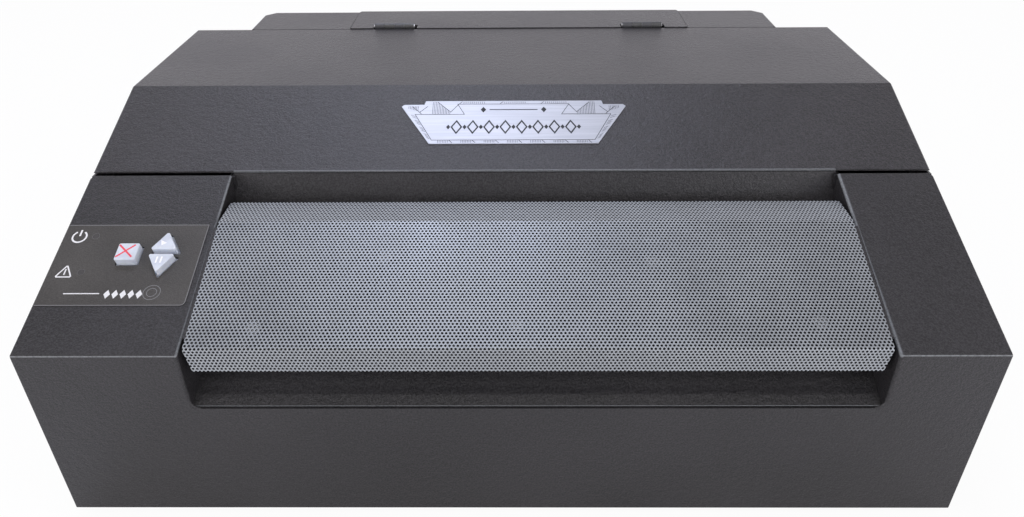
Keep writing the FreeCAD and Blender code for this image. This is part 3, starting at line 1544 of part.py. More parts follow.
def make_rocker():
    """Rocker key that tips on the axle in its well."""
    y1 = panel_y + sheet
    half = rocker_half_height
    outline = [(y1 - 7, entry_z - half + 2), (y1 - 7, entry_z + half - 2), (y1 + 1.4, entry_z + half),
               (y1 + 1.0, entry_z), (y1 + 3.6, entry_z - half)]
    key = side_prism(outline, rocker_x - rocker_half_width, rocker_x + rocker_half_width)
    return key.cut(x_rod(rocker_x - 20, rocker_x + 20, y1 - 4, entry_z, 1.2 + run_fit))


# Every piece, by name
pieces = {
    "front_casing": make_front_casing(),
    "left_side_panel": make_side_panel(-1),
    "right_side_panel": make_side_panel(1),
    "bottom_pan": make_bottom_pan(),
    "rear_panel": make_rear_panel(),
    "hood_left": make_hood_corner(-1),
    "hood_right": make_hood_corner(1),
    "rear_cover": make_rear_cover(),
    "throat_wall": make_throat_wall(),
    "chute_floor": make_chute_floor(),
    "perforated_ramp": make_ramp(),
    "ramp_brackets": make_ramp_brackets(),
    "lid": make_lid(),
    "badge_plate": make_badge(),
    "lid_hinge_leaves": make_lid_leaves(),
    "cover_hinge_leaves": make_cover_leaves(),
    "feet": make_feet(),
    "lid_buffers": make_buffers(),
    "case_screws": make_case_screws(),
    "control_label": make_label(),
    "indicator_lamps": make_lamps(),
    "cancel_key": make_key("cancel_key"),
    "run_key": make_key("run_key"),
    "pause_key": make_key("pause_key"),
    "switch_board": make_switch_board(),
    "left_frame": make_frame(-1),
    "right_frame": make_frame(1),
    "guide_rods": make_guide_rods(),
    "shaft_bushes": make_bushes(),
    "anvil_beam": make_anvil(),
    "paper_guide": make_paper_guide(),
    "head_carriage": make_head_carriage(),
    "punch_solenoids": make_solenoids(),
    "punch_pins": make_punches(),
    "head_belt": make_head_belt(),
    "head_motor": make_head_motor(),
    "head_drive_pulley": make_head_drive_pulley(),
    "head_idler_pulley": make_head_idler_pulley(),
    "drive_shaft": make_drive_shaft(),
    "drive_gear": make_drive_gear(),
    "feed_pinion": make_feed_pinion(),
    "feed_motor": make_feed_motor(),
    "left_pin_wheel": make_pin_wheel(tractor_left),
    "right_pin_wheel": make_pin_wheel(tractor_right),
    "left_tractor": make_tractor(tractor_left, -1),
    "right_tractor": make_tractor(tractor_right, 1),
    "left_tractor_door": make_door(tractor_left, -1),
    "right_tractor_door": make_door(tractor_right, 1),
    "left_lock_lever": make_lever(tractor_left, -1),
    "right_lock_lever": make_lever(tractor_right, 1),
    "feed_belt": make_feed_belt(),
    "exit_roller": make_exit_roller(),
    "pinch_roller": make_pinch_roller(),
    "power_supply": make_supply(),
    "main_board": make_main_board(),
    "data_ports": make_ports(),
    "fan_frame": make_fan_frame(),
    "fan_rotor": make_fan_rotor(),
    "power_entry": make_power_entry(),
    "power_rocker": make_rocker(),
}

# Origin at the middle of the footprint, on the level the feet stand on
origin_shift = V(0, -total_depth / 2, foot_height)
os.makedirs("parts", exist_ok=True)
for name, shape in pieces.items():
    placed = shape.translated(origin_shift)
    placed.exportStep("parts/" + name + ".step")
    print(name, len(placed.Solids), "solids", round(placed.Volume / 1000.0, 1), "cm3")
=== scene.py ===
# %% [markdown]
# # Dressing a braille embosser
# The metalwork of this machine comes from a CAD model. This notebook gives it its finishes,
# makes the pieces that are too fine for the CAD model, and sets the light and the camera.
# The frame is the CAD model's: X to the right, Y to the back, Z up. Lengths are in metres, and
# only drawings on the slope and boxes inside a piece are in millimetres.

# %% Load the CAD model
import json
import math

import bmesh
import bpy
from mathutils import Matrix, Vector


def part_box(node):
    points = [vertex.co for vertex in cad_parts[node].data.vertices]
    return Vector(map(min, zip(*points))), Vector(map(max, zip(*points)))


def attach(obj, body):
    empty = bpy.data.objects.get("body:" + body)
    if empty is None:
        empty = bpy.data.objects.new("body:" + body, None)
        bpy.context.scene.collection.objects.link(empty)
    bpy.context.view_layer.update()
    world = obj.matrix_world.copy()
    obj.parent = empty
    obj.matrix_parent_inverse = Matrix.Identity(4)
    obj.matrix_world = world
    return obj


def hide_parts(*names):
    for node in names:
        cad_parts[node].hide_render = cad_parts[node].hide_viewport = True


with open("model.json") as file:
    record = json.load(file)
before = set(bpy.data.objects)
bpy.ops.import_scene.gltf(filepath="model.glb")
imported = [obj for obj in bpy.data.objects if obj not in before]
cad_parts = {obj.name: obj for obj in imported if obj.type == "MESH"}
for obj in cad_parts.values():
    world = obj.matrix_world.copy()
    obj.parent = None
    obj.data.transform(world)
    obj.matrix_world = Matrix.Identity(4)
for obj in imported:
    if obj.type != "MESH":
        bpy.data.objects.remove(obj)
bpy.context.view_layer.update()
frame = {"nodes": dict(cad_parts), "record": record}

NODES = frame["nodes"]
MM = 0.001

# %% [markdown]
# ## The camera
# The viewpoint was worked out from the straight edges of the casing: a third of a metre in front
# of it and two tenths above its top, looking down at about thirty degrees. The small shift says
# that the picture was cropped after it was taken. Three turns, one after the other, are easier
# to read and to correct than a finished matrix.

# %% Camera
IMAGE_WIDTH = 1024
FOCAL_PIXELS = 780.67
SHIFT_PIXELS = -25.1
SENSOR_WIDTH = 36.0
NEAREST = 0.01
CAMERA_PLACE = Vector((0.00635, -0.5497, 0.4269))
LOOK_DOWN = 0.55146
LOOK_ASIDE = 0.01081
HEAD_TILT = 0.00829

lens = bpy.data.cameras.new("viewpoint")
lens.sensor_width = SENSOR_WIDTH
lens.lens = FOCAL_PIXELS * SENSOR_WIDTH / IMAGE_WIDTH
lens.shift_y = SHIFT_PIXELS / IMAGE_WIDTH
lens.clip_start = NEAREST
camera = bpy.data.objects.new("viewpoint", lens)
bpy.context.scene.collection.objects.link(camera)
turn = (Matrix.Rotation(LOOK_ASIDE, 4, "Z")
        @ Matrix.Rotation(math.pi / 2 - LOOK_DOWN, 4, "X")
        @ Matrix.Rotation(-HEAD_TILT, 4, "Z"))
camera.matrix_world = Matrix.Translation(CAMERA_PLACE) @ turn
bpy.context.scene.camera = camera
bpy.context.scene.view_settings.view_transform = "Standard"
print("lens", round(lens.lens, 2), "mm, shift", round(lens.shift_y, 4))

# %% [markdown]
# ## A small language for shaders
# A finish is a tree of nodes, but it reads best as arithmetic. `Signal` wraps an output socket
# and turns + - * into Math nodes, also where a plain number comes first. `Recipe` holds a tree
# and makes every other node with one method: the node's type, its settings, then the values or
# signals for its sockets.


# %% Signals
class Signal:
    """A number that changes over the surface."""

    def __init__(self, recipe, socket):
        self.recipe = recipe
        self.socket = socket

    def combined(self, operation, first, second):
        return self.recipe.node("ShaderNodeMath", {"operation": operation}, {0: first, 1: second})

    def __add__(self, other):
        return self.combined("ADD", self, other)

    def __radd__(self, other):
        return self.combined("ADD", other, self)

    def __sub__(self, other):
        return self.combined("SUBTRACT", self, other)

    def __rsub__(self, other):
        return self.combined("SUBTRACT", other, self)

    def __mul__(self, other):
        return self.combined("MULTIPLY", self, other)

    def __rmul__(self, other):
        return self.combined("MULTIPLY", other, self)


print("signals can be added, subtracted and multiplied")

# %% Recipes
MIX_AMOUNT, MIX_ONE, MIX_OTHER, MIX_RESULT = 0, 6, 7, 2
NOISE_LOW, NOISE_HIGH = 0.3, 0.7


class Recipe:
    """A node tree under construction."""

    def __init__(self, tree):
        self.tree = tree
        tree.nodes.clear()

    def node(self, kind, settings=None, sockets=None, output=0):
        made = self.tree.nodes.new(kind)
        for name, value in (settings or {}).items():
            setattr(made, name, value)
        for name, value in (sockets or {}).items():
            if isinstance(value, Signal):
                self.tree.links.new(value.socket, made.inputs[name])
            else:
                made.inputs[name].default_value = value
        return Signal(self, made.outputs[output]) if made.outputs else None

    def place(self, stretch=(1.0, 1.0, 1.0)):
        """Position on the object, stretched by a factor along each axis."""
        here = self.node("ShaderNodeTexCoord", output="Object")
        return self.node("ShaderNodeVectorMath", {"operation": "MULTIPLY"}, {0: here, 1: stretch})

    def noise(self, per_metre, detail=2.0, stretch=(1.0, 1.0, 1.0), roughness=0.55):
        return self.node("ShaderNodeTexNoise", None,
                         {"Vector": self.place(stretch), "Scale": per_metre, "Detail": detail,
                          "Roughness": roughness})

    def between(self, signal, low, high, start=0.0, end=1.0):
        """start where the signal is low, end where it is high, and smooth in between."""
        return self.node("ShaderNodeMapRange", {"interpolation_type": "SMOOTHSTEP"},
                         {0: signal, 1: low, 2: high, 3: start, 4: end})

    def spread(self, noise, start=0.0, end=1.0):
        """Noise stays near its middle, so its middle part is drawn out from start to end."""
        return self.between(noise, NOISE_LOW, NOISE_HIGH, start, end)

    def blend(self, one, other, amount):
        """Mix of two colours. The numbers tell the colour sockets from others of their name."""
        return self.node("ShaderNodeMix", {"data_type": "RGBA"},
                         {MIX_AMOUNT: amount, MIX_ONE: one, MIX_OTHER: other}, output=MIX_RESULT)

    def bump(self, height, depth):
        return self.node("ShaderNodeBump", None,
                         {"Height": height, "Distance": depth, "Strength": 1.0})

    def axis(self, index):
        """One coordinate on the object, in metres."""
        return self.node("ShaderNodeSeparateXYZ", None, {0: self.place()}, output=index)


print("recipes draw out noise from", NOISE_LOW, "to", NOISE_HIGH)


# %% Colours and materials
def grey(level, warm=0.0):
    """Colour of one brightness; warm above 0 leans to red, below 0 to blue."""
    return (level * (1 + warm), level, level * (1 - warm), 1.0)


def finish(name, build):
    """Material whose recipe is written by a function, which returns the shader's sockets."""
    material = bpy.data.materials.new(name)
    material.use_nodes = True
    recipe = Recipe(material.node_tree)
    shader = recipe.node("ShaderNodeBsdfPrincipled", None, build(recipe))
    recipe.node("ShaderNodeOutputMaterial", None, {"Surface": shader})
    return material


print("middle grey is", grey(0.5))

# %% [markdown]
# ## The studio
# The machine stands on a white floor, and the room around it looks white to the camera. The floor
# looks white to the camera too, and still keeps the shadow. The room is bright near the horizon,
# dim overhead and darker low down behind the camera. That is what makes flat black paint look pale
# at a low angle, and what draws a dark line under the bright one along each bend.

# %% Floor
FLOOR_HALF = 4.0
FLOOR_WHITE = 0.88
FLOOR_GLOW = 0.94

floor_mesh = bpy.data.meshes.new("floor")
corners = [(x * FLOOR_HALF, y * FLOOR_HALF, 0.0) for x, y in ((-1, -1), (1, -1), (1, 1), (-1, 1))]
floor_mesh.from_pydata(corners, [], [(0, 1, 2, 3)])
floor = bpy.data.objects.new("floor", floor_mesh)
bpy.context.scene.collection.objects.link(floor)
floor_material = bpy.data.materials.new("white_floor")
floor_material.use_nodes = True
sheet_of_paper = Recipe(floor_material.node_tree)
lit = sheet_of_paper.node("ShaderNodeBsdfDiffuse", None, {"Color": grey(FLOOR_WHITE)})
glow = sheet_of_paper.node("ShaderNodeEmission", None, {"Color": grey(1.0), "Strength": 1.0})
seen = sheet_of_paper.node("ShaderNodeLightPath", output="Is Camera Ray") * FLOOR_GLOW
both = sheet_of_paper.node("ShaderNodeMixShader", None, {0: seen, 1: lit, 2: glow})
sheet_of_paper.node("ShaderNodeOutputMaterial", None, {"Surface": both})
floor_mesh.materials.append(floor_material)
print("floor", 2 * FLOOR_HALF, "m square")

# %% Room light
HORIZON = 1.0
OVERHEAD = 0.10
DIMMING = (0.50, 0.92)
NEAR_SIDE = 0.75
NEAR_REACH = (-0.35, -0.9)
NEAR_HEIGHT = (0.45, 0.15)
ROOM_TINT = (1.015, 0.985, 1.04)

world = bpy.data.worlds.new("pale_room")
bpy.context.scene.world = world
world.use_nodes = True
room = Recipe(world.node_tree)
direction = room.node("ShaderNodeTexCoord", output="Generated")
height = room.node("ShaderNodeSeparateXYZ", None, {0: direction}, output=2)
forward = room.node("ShaderNodeSeparateXYZ", None, {0: direction}, output=1)
level = room.between(height, *DIMMING, HORIZON, OVERHEAD)
near = room.between(forward, *NEAR_REACH) * room.between(height, *NEAR_HEIGHT)
level = level * (1 - near * NEAR_SIDE)
seen = room.node("ShaderNodeLightPath", output="Is Camera Ray")
tint = room.node("ShaderNodeCombineColor", None,
                 {index: level * part for index, part in enumerate(ROOM_TINT)})
shown = room.blend(tint, grey(1.0), seen)
background = room.node("ShaderNodeBackground", None, {"Color": shown, "Strength": 1.0})
room.node("ShaderNodeOutputWorld", None, {"Surface": background})
print("room from", HORIZON, "at the horizon to", OVERHEAD, "overhead")

# %% [markdown]
# Six lamps shape the casing: a soft one in front, a narrow tube overhead that draws the shadow
# edge inside the paper outlet, one on each side to light the folded edges, a cool one above and
# behind, whose reflection lies across the middle of the lid's slope, and a far cool one that
# reaches the right part of the throat.

# %% Lamps
LAMP_AIM = Vector((0.0, 0.0, 0.12))
# name, place, size, watts, colour
LAMPS = (
    ("front_lamp", (-0.15, -1.45, 1.85), (2.4, 0.40), 4.0, (1.0, 0.99, 0.97)),
    ("tube_lamp", (0.0, -0.75, 2.4), (1.6, 0.15), 9.0, (1.0, 0.99, 0.98)),
    ("left_lamp", (-1.45, -0.95, 0.40), (0.7, 0.6), 7.5, (1.0, 0.99, 0.99)),
    ("right_lamp", (1.45, -0.95, 0.40), (0.7, 0.6), 6.5, (1.0, 0.99, 0.98)),
    ("window_lamp", (-0.24, 0.80, 2.1), (0.5, 0.4), 15.0, (0.76, 0.81, 1.0)),
    ("far_lamp", (1.3, -2.9, 0.65), (1.4, 0.7), 9.0, (0.84, 0.88, 1.0)),
)
for name, place, size, watts, colour in LAMPS:
    lamp = bpy.data.lights.new(name, "AREA")
    lamp.shape = "RECTANGLE"
    lamp.size, lamp.size_y = size
    lamp.energy = watts
    lamp.color = colour
    holder = bpy.data.objects.new(name, lamp)
    bpy.context.scene.collection.objects.link(holder)
    holder.location = place
    aim = LAMP_AIM - Vector(place)
    holder.rotation_euler = aim.to_track_quat("-Z", "Y").to_euler()
print(len(LAMPS), "lamps")

# %% [markdown]
# ## Where things are on the slope
# The decks and the lid share one sloping plane. A point on it has a distance x to the right, a
# distance s up the slope from the front edge, and a height h above the paint, so flat drawings
# can be laid on the plane and thin marks can be given a real thickness.

# %% The slope
SLOPE = math.radians(20.0)
UPHILL = Vector((0.0, math.cos(SLOPE), math.sin(SLOPE)))
OUTWARD = Vector((0.0, -math.sin(SLOPE), math.cos(SLOPE)))
FRONT_EDGE = Vector((0.0, -0.2082, 0.135))
SLOPE_LEVEL = FRONT_EDGE.dot(OUTWARD)


def on_slope(x, s, h):
    """Place in metres of a point given in millimetres on the slope."""
    return Vector((x * MM, 0.0, 0.0)) + FRONT_EDGE + UPHILL * (s * MM) + OUTWARD * (h * MM)


print("the slope starts at", [round(v, 4) for v in FRONT_EDGE])

# %% [markdown]
# ## Powder coat
# The casing is steel sheet with a fine textured powder coat. Baked powder leaves grains one or
# two millimetres across, each a tiny dome. Two scales of noise give the domes as bump and a
# change of tone, and a slow noise adds the uneven gloss that handling leaves. Each bend has a
# thin pale line, a painted highlight for the light its rounded edge catches. The coat finds a bend
# by its distance from a line fixed to the piece, so the painted highlight moves with the piece.

# %% Where the bends are
RECESS = (-0.1897, 0.2223)
WHOLE = (-1.0, 1.0)
RECESS_ROUND = 0.53 * MM
RECESS_CORE = 0.3 * MM
# distance from each rounded side of the recess at which its painted highlight fades out, left then
# right
RECESS_HIGHLIGHT_END = (1.0 * MM, 1.6 * MM)
# y, z, its ends from left to right, full painted highlight up to here, none from here
CASE_BENDS = ((-0.2080, 0.1346, WHOLE, 0.1 * MM, 0.6 * MM),
              (-0.2061, 0.0943, RECESS, 0.1 * MM, 0.6 * MM))
LID_BENDS = ((-0.0729, 0.1841, RECESS, 0.5 * MM, 1.2 * MM),)


def near_bends(recipe, bends):
    """1 on the edges that run from left to right, 0 a little away from them."""
    flat = recipe.place((0.0, 1.0, 1.0))
    x = recipe.axis(0)
    total = 0.0
    for y, z, (left, right), full, none in bends:
        reach = recipe.between(x, left, left + MM) * recipe.between(x, right - MM, right, 1.0, 0.0)
        away = recipe.node("ShaderNodeVectorMath", {"operation": "DISTANCE"},
                           {0: flat, 1: (0.0, y, z)}, output=1)
        total = recipe.between(away, full, none, 1.0, 0.0) * reach + total
    return total


def near_recess(recipe):
    """1 on the rounded sides of the recess in the decks, 0 a little away from them."""
    rise = recipe.node("ShaderNodeVectorMath", {"operation": "DOT_PRODUCT"},
                       {0: recipe.place(), 1: OUTWARD}, output=1) - (SLOPE_LEVEL - RECESS_ROUND)
    total = 0.0
    for x, side, none in zip(RECESS, (-1, 1), RECESS_HIGHLIGHT_END):
        aside = recipe.axis(0) - (x + side * RECESS_ROUND)
        away = recipe.node("ShaderNodeMath", {"operation": "SQRT"},
                           {0: aside * aside + rise * rise})
        total = recipe.between(away, RECESS_CORE, none, 1.0, 0.0) + total
    return total


print(len(CASE_BENDS), "bends on the casing,", len(LID_BENDS), "on the lid")

# %% Powder coats
GRAINS, WAVES, HANDLING, PATCHES = 850.0, 300.0, 9.0, 700.0
COAT_RELIEF = 0.55 * MM
COAT_LEAN = (1.03, 0.97, 1.06)


def plum(level):
    """Black powder coat is never quite neutral: this one leans to blue and red."""
    return (*(level * part for part in COAT_LEAN), 1.0)


def powder_coat(base, grain, gloss, bend_highlight=0.0, bends=(), sides=False):
    """base is its brightness, grain how far the tone swings, bend_highlight the brightness of the
    painted highlight on a bend.
    """
    def build(recipe):
        domes = recipe.noise(GRAINS, 3.0, roughness=0.7)
        wide = recipe.noise(WAVES, 1.0)
        handled = recipe.noise(HANDLING, 3.0)
        tone = recipe.between(domes, 0.34, 0.66) * 0.8 + recipe.spread(handled) * 0.2
        colour = recipe.blend(plum(base * (1 - grain)), plum(base * (1 + grain)), tone)
        rough = gloss + recipe.spread(handled, -0.03, 0.04) + domes * 0.06
        # Painted highlight: a pale line along each bend, broken by noise, stands in for the light
        # the rounded edge catches.
        if bend_highlight:
            thin = near_bends(recipe, bends)
            if sides:
                thin = thin + near_recess(recipe)
            patchy = thin * recipe.between(recipe.noise(PATCHES, 2.0), 0.25, 0.6, 0.55, 1.0)
            colour = recipe.blend(colour, grey(bend_highlight, -0.05), patchy)
        relief = domes * 0.7 + wide * 0.6
        return {"Base Color": colour, "Roughness": rough,
                "Normal": recipe.bump(relief, COAT_RELIEF)}
    return build


FINISHES = {
    "chassis_coat": finish("chassis_coat", powder_coat(0.030, 0.70, 0.36)),
    # deck and lid coats: the fourth number is the brightness of the painted highlight on their
    # bends
    "deck_coat": finish("deck_coat", powder_coat(0.021, 0.75, 0.37, 0.20, CASE_BENDS, sides=True)),
    "lid_coat": finish("lid_coat", powder_coat(0.028, 0.75, 0.31, 0.15, LID_BENDS)),
}
print("coats:", ", ".join(FINISHES))

# %% [markdown]
# ## Metals
# Sheet steel, ground rods and castings differ mostly in how they were worked. Rolled sheet has
# faint lines along its length, a ground rod has fine rings, and a casting is grainy and dull.


# %% Metals
def worked_metal(colour, gloss, grain_scale, stretch, contrast, metallic, relief):
    def build(recipe):
        lines = recipe.noise(grain_scale, 3.0, stretch)
        cloud = recipe.noise(24.0, 3.0)
        dark = tuple(c * (1 - contrast) for c in colour) + (1.0,)
        pale = tuple(min(1.0, c * (1 + contrast)) for c in colour) + (1.0,)
        tone = recipe.spread(lines) * 0.6 + recipe.spread(cloud) * 0.4
        return {"Base Color": recipe.blend(dark, pale, tone), "Metallic": metallic,
                "Roughness": gloss + lines * 0.12 + recipe.spread(cloud, -0.04, 0.04),
                "Normal": recipe.bump(lines, relief * MM)}
    return build


ALONG_X = (0.04, 1.0, 1.0)
ROLLED = (0.15, 1.0, 1.0)
RINGS = (1.0, 0.05, 0.05)
ALL_WAYS = (1.0, 1.0, 1.0)
# colour, roughness, grains per metre, their stretch, contrast, metallic, relief in millimetres
METALS = {
    "ramp_metal": ((0.366, 0.388, 0.41), 0.40, 700.0, ROLLED, 0.06, 0.55, 0.02),
    # walls of the ramp's holes, nearly black: painted shade for the dark inside of each hole
    "hole_wall_shade": ((0.055, 0.057, 0.062), 0.55, 900.0, ALL_WAYS, 0.15, 0.2, 0.02),
    "zinc_steel": ((0.60, 0.61, 0.63), 0.36, 160.0, ALL_WAYS, 0.14, 0.95, 0.02),
    "ground_steel": ((0.66, 0.67, 0.69), 0.16, 900.0, RINGS, 0.06, 1.0, 0.005),
    "bush_bronze": ((0.62, 0.44, 0.22), 0.30, 800.0, ALL_WAYS, 0.12, 1.0, 0.02),
    "cast_alloy": ((0.52, 0.53, 0.55), 0.46, 1500.0, ALL_WAYS, 0.14, 0.9, 0.06),
    "hinge_metal": ((0.075, 0.075, 0.08), 0.36, 900.0, ALL_WAYS, 0.10, 0.3, 0.03),
    "supply_case": ((0.64, 0.65, 0.66), 0.38, 500.0, ALONG_X, 0.08, 0.95, 0.01),
}
for name, values in METALS.items():
    FINISHES[name] = finish(name, worked_metal(*values))
print("metals:", ", ".join(METALS))

# %% [markdown]
# ## Plastics and rubber
# Moulded parts take their look from the mould: a spark-eroded tool leaves a fine even grain, and
# rubber comes out duller than plastic. One recipe covers them, with the grain's size and depth
# as arguments.


# %% Plastics and rubber
def moulded(colour, gloss, grain_scale, relief, contrast=0.08):
    def build(recipe):
        grain = recipe.noise(grain_scale, 2.0)
        cloud = recipe.noise(18.0, 2.0)
        dark = tuple(c * (1 - contrast) for c in colour) + (1.0,)
        pale = tuple(min(1.0, c * (1 + contrast)) for c in colour) + (1.0,)
        tone = recipe.spread(grain) * 0.5 + recipe.spread(cloud) * 0.5
        return {"Base Color": recipe.blend(dark, pale, tone),
                "Roughness": gloss + recipe.spread(cloud, -0.04, 0.05),
                "Normal": recipe.bump(grain, relief * MM)}
    return build


# colour, roughness, grains per metre, relief in millimetres
PLASTICS = {
    "foot_rubber": ((0.022, 0.022, 0.023), 0.72, 1500.0, 0.05),
    "roller_rubber": ((0.035, 0.035, 0.037), 0.62, 1800.0, 0.04),
    "belt_black": ((0.02, 0.02, 0.021), 0.66, 1600.0, 0.04),
    "coil_black": ((0.022, 0.022, 0.024), 0.42, 1600.0, 0.02),
    "motor_black": ((0.028, 0.028, 0.030), 0.40, 1400.0, 0.03),
    "fan_black": ((0.020, 0.020, 0.022), 0.44, 1600.0, 0.03),
    "gear_white": ((0.74, 0.72, 0.66), 0.40, 1200.0, 0.02),
    "tractor_grey": ((0.11, 0.115, 0.12), 0.46, 1500.0, 0.03),
    "tractor_blue": ((0.035, 0.12, 0.33), 0.42, 1500.0, 0.03),
    "screw_black": ((0.018, 0.018, 0.019), 0.34, 1400.0, 0.02),
    "lamp_lens": ((0.075, 0.072, 0.072), 0.22, 1500.0, 0.005),
}
for name, values in PLASTICS.items():
    FINISHES[name] = finish(name, moulded(*values))
print("mouldings:", ", ".join(PLASTICS))

# %% [markdown]
# ## Keys, label, badge and boards
# Four finishes have a recipe of their own. The keys are pale and slightly see-through, so light
# spreads under their skin. The label is printed film. The badge is brushed along its length. The
# boards are green lacquer over copper tracks, with darker parts above.


# %% Finishes of their own
def key_cap(recipe):
    cloud = recipe.noise(160.0, 2.0)
    grain = recipe.noise(2200.0, 2.0)
    colour = recipe.blend((0.60, 0.64, 0.72, 1.0), (0.68, 0.72, 0.79, 1.0),
                          recipe.between(cloud, 0.35, 0.65))
    return {"Base Color": colour, "Roughness": 0.30 + grain * 0.08,
            "Subsurface Weight": 0.35, "Subsurface Radius": (0.0012, 0.0014, 0.0018),
            "Normal": recipe.bump(grain, 0.01 * MM)}


def printed_film(recipe):
    grain = recipe.noise(1300.0, 2.0)
    slow = recipe.noise(20.0, 2.0)
    tone = recipe.spread(grain) * 0.6 + recipe.spread(slow) * 0.4
    return {"Base Color": recipe.blend(grey(0.036, 0.08), grey(0.078, 0.06), tone),
            "Roughness": 0.40 + grain * 0.08, "Normal": recipe.bump(grain, 0.16 * MM)}


def brushed_plate(recipe):
    streaks = recipe.noise(1400.0, 4.0, (0.012, 1.0, 1.0))
    bands = recipe.noise(120.0, 2.0, (0.15, 1.0, 1.0))
    tone = recipe.spread(streaks) * 0.7 + recipe.spread(bands) * 0.3
    return {"Base Color": recipe.blend((0.38, 0.39, 0.42, 1.0), (0.51, 0.52, 0.55, 1.0), tone),
            "Metallic": 0.75, "Roughness": 0.42 + streaks * 0.14,
            "Normal": recipe.bump(streaks, 0.02 * MM)}


def board_lacquer(recipe):
    tracks = recipe.node("ShaderNodeTexVoronoi", {"distance": "MANHATTAN"},
                         {"Vector": recipe.place((1.0, 1.0, 0.1)), "Scale": 160.0})
    speck = recipe.noise(900.0, 2.0)
    lines = recipe.between(tracks, 0.30, 0.36) - recipe.between(tracks, 0.44, 0.5)
    colour = recipe.blend((0.010, 0.085, 0.035, 1.0), (0.030, 0.19, 0.075, 1.0), lines)
    return {"Base Color": colour, "Roughness": 0.28 + speck * 0.12,
            "Normal": recipe.bump(lines + speck * 0.2, 0.04 * MM)}


for name, build in (("key_plastic", key_cap), ("label_print", printed_film),
                    ("plate_metal", brushed_plate), ("circuit_board", board_lacquer)):
    FINISHES[name] = finish(name, build)
print(len(FINISHES), "finishes in all")

# %% [markdown]
# The record that came with the CAD model says which finish each node takes, so one loop dresses
# them all. Nodes that are replaced further down are dressed too, which does no harm.


# %% Dress the CAD nodes
def dress(piece, material):
    piece.data.materials.clear()
    piece.data.materials.append(material)


for part in frame["record"]["subparts"]:
    dress(NODES[part["node"]], FINISHES[part["material_slot"]])

# %% [markdown]
# ## The perforated ramp
# The embossed pages slide over a sheet with round holes in staggered rows: 1/16 inch holes at
# 3/32 inch. The holes are real, because their edges and the dark space below give the sheet its
# look. A boolean with eleven thousand cylinders would be slow, so the sheet is tiled flat with
# hexagonal cells, each with a hole of twelve sides, then cut to size, folded along two lines and
# thickened.

# %% Sheet sizes
PITCH = 2.381 * MM
HOLE_RADIUS = 0.794 * MM
ROW_STEP = PITCH * math.sqrt(3) / 2
CELL_REACH = PITCH / math.sqrt(3)
SHEET_THICK = 1.0 * MM
FOLD_RADIUS = 1.6 * MM
LIP_TAPER = 2.6 * MM
REAR_CLIP = 1.0 * MM
LIP, MAIN, REAR = 16.4 * MM, 92.8 * MM, 25.6 * MM
TILT = math.radians(21.4)

ramp_low, ramp_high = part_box("perforated_ramp")
FOLD_TURN = math.pi / 2 - TILT
trim_fold = FOLD_RADIUS * math.tan(FOLD_TURN / 2)
trim_crest = FOLD_RADIUS * math.tan(TILT / 2)
# length and turn of each stretch, from the lip's free edge up to the rear edge
RUNS = [(LIP - trim_fold, 0.0), (FOLD_RADIUS * FOLD_TURN, FOLD_TURN),
        (MAIN - trim_fold - trim_crest, 0.0), (FOLD_RADIUS * TILT, TILT),
        (REAR - trim_crest, 0.0)]
FLAT_LENGTH = sum(length for length, turn in RUNS)
flat_width = (ramp_high.x - ramp_low.x) / MM
print("flat sheet", round(flat_width, 1), "x", round(FLAT_LENGTH / MM, 1), "mm")


# %% Fold line by line
def folded(along, depth):
    """Place (y, z) of a point this far up the flat sheet and this far under its upper side."""
    y, z = ramp_low.y, ramp_low.z
    heading = math.pi / 2
    left = along
    for number, (length, turn) in enumerate(RUNS):
        last = number == len(RUNS) - 1
        step = left if last else min(left, length)
        if turn:
            swept = turn * step / length
            centre_y = y + FOLD_RADIUS * math.sin(heading)
            centre_z = z - FOLD_RADIUS * math.cos(heading)
            heading -= swept
            y = centre_y - FOLD_RADIUS * math.sin(heading)
            z = centre_z + FOLD_RADIUS * math.cos(heading)
        else:
            y += step * math.cos(heading)
            z += step * math.sin(heading)
        left -= step
        if left <= 0:
            break
    return y + depth * math.sin(heading), z - depth * math.cos(heading)


print("rear edge at", [round(v / MM, 1) for v in folded(FLAT_LENGTH, 0.0)],
      "CAD rear", round(ramp_high.y / MM, 1), round(ramp_high.z / MM, 1))

# %% Tile and cut one strip
STEPS_PER_METRE = 2e6
CUT_REACH = 1e-8


def tiled_strip(first, last, rows):
    """Flat cells of whole columns as a bmesh, where points within half a micron are shared."""
    flat = bmesh.new()
    known = {}

    def point(x, s):
        key = (round(x * STEPS_PER_METRE), round(s * STEPS_PER_METRE))
        if key not in known:
            known[key] = flat.verts.new((x, s, 0.0))
        return known[key]

    for row in range(rows):
        for column in range(first, last):
            cx = ramp_low.x + (column + 0.5 * (row % 2)) * PITCH
            cs = row * ROW_STEP
            for side in range(6):
                facing = math.pi / 3 * side
                ring = [(CELL_REACH, facing - math.pi / 6), (CELL_REACH, facing + math.pi / 6),
                        (HOLE_RADIUS, facing + math.pi / 6), (HOLE_RADIUS, facing),
                        (HOLE_RADIUS, facing - math.pi / 6)]
                flat.faces.new([point(cx + r * math.cos(a), cs + r * math.sin(a)) for r, a in ring])
    return flat


def cut_line(flat, through, normal, drop=True):
    """Cuts the flat sheet along a line, and drops what lies on the normal's side."""
    everything = flat.verts[:] + flat.edges[:] + flat.faces[:]
    bmesh.ops.bisect_plane(flat, geom=everything, dist=CUT_REACH, plane_co=(*through, 0.0),
                           plane_no=(*normal, 0.0), clear_outer=drop)


def fold_marks():
    """Distances along the sheet where its folds start, turn and end: the sharp one in 4 steps."""
    marks = []
    start = 0.0
    for length, turn in RUNS:
        if turn:
            steps = 4 if turn > 1 else 2
            marks += [start + length * i / steps for i in range(steps + 1)]
        start += length
    return marks


print("cuts across the sheet at", [round(mark / MM, 1) for mark in fold_marks()], "mm")


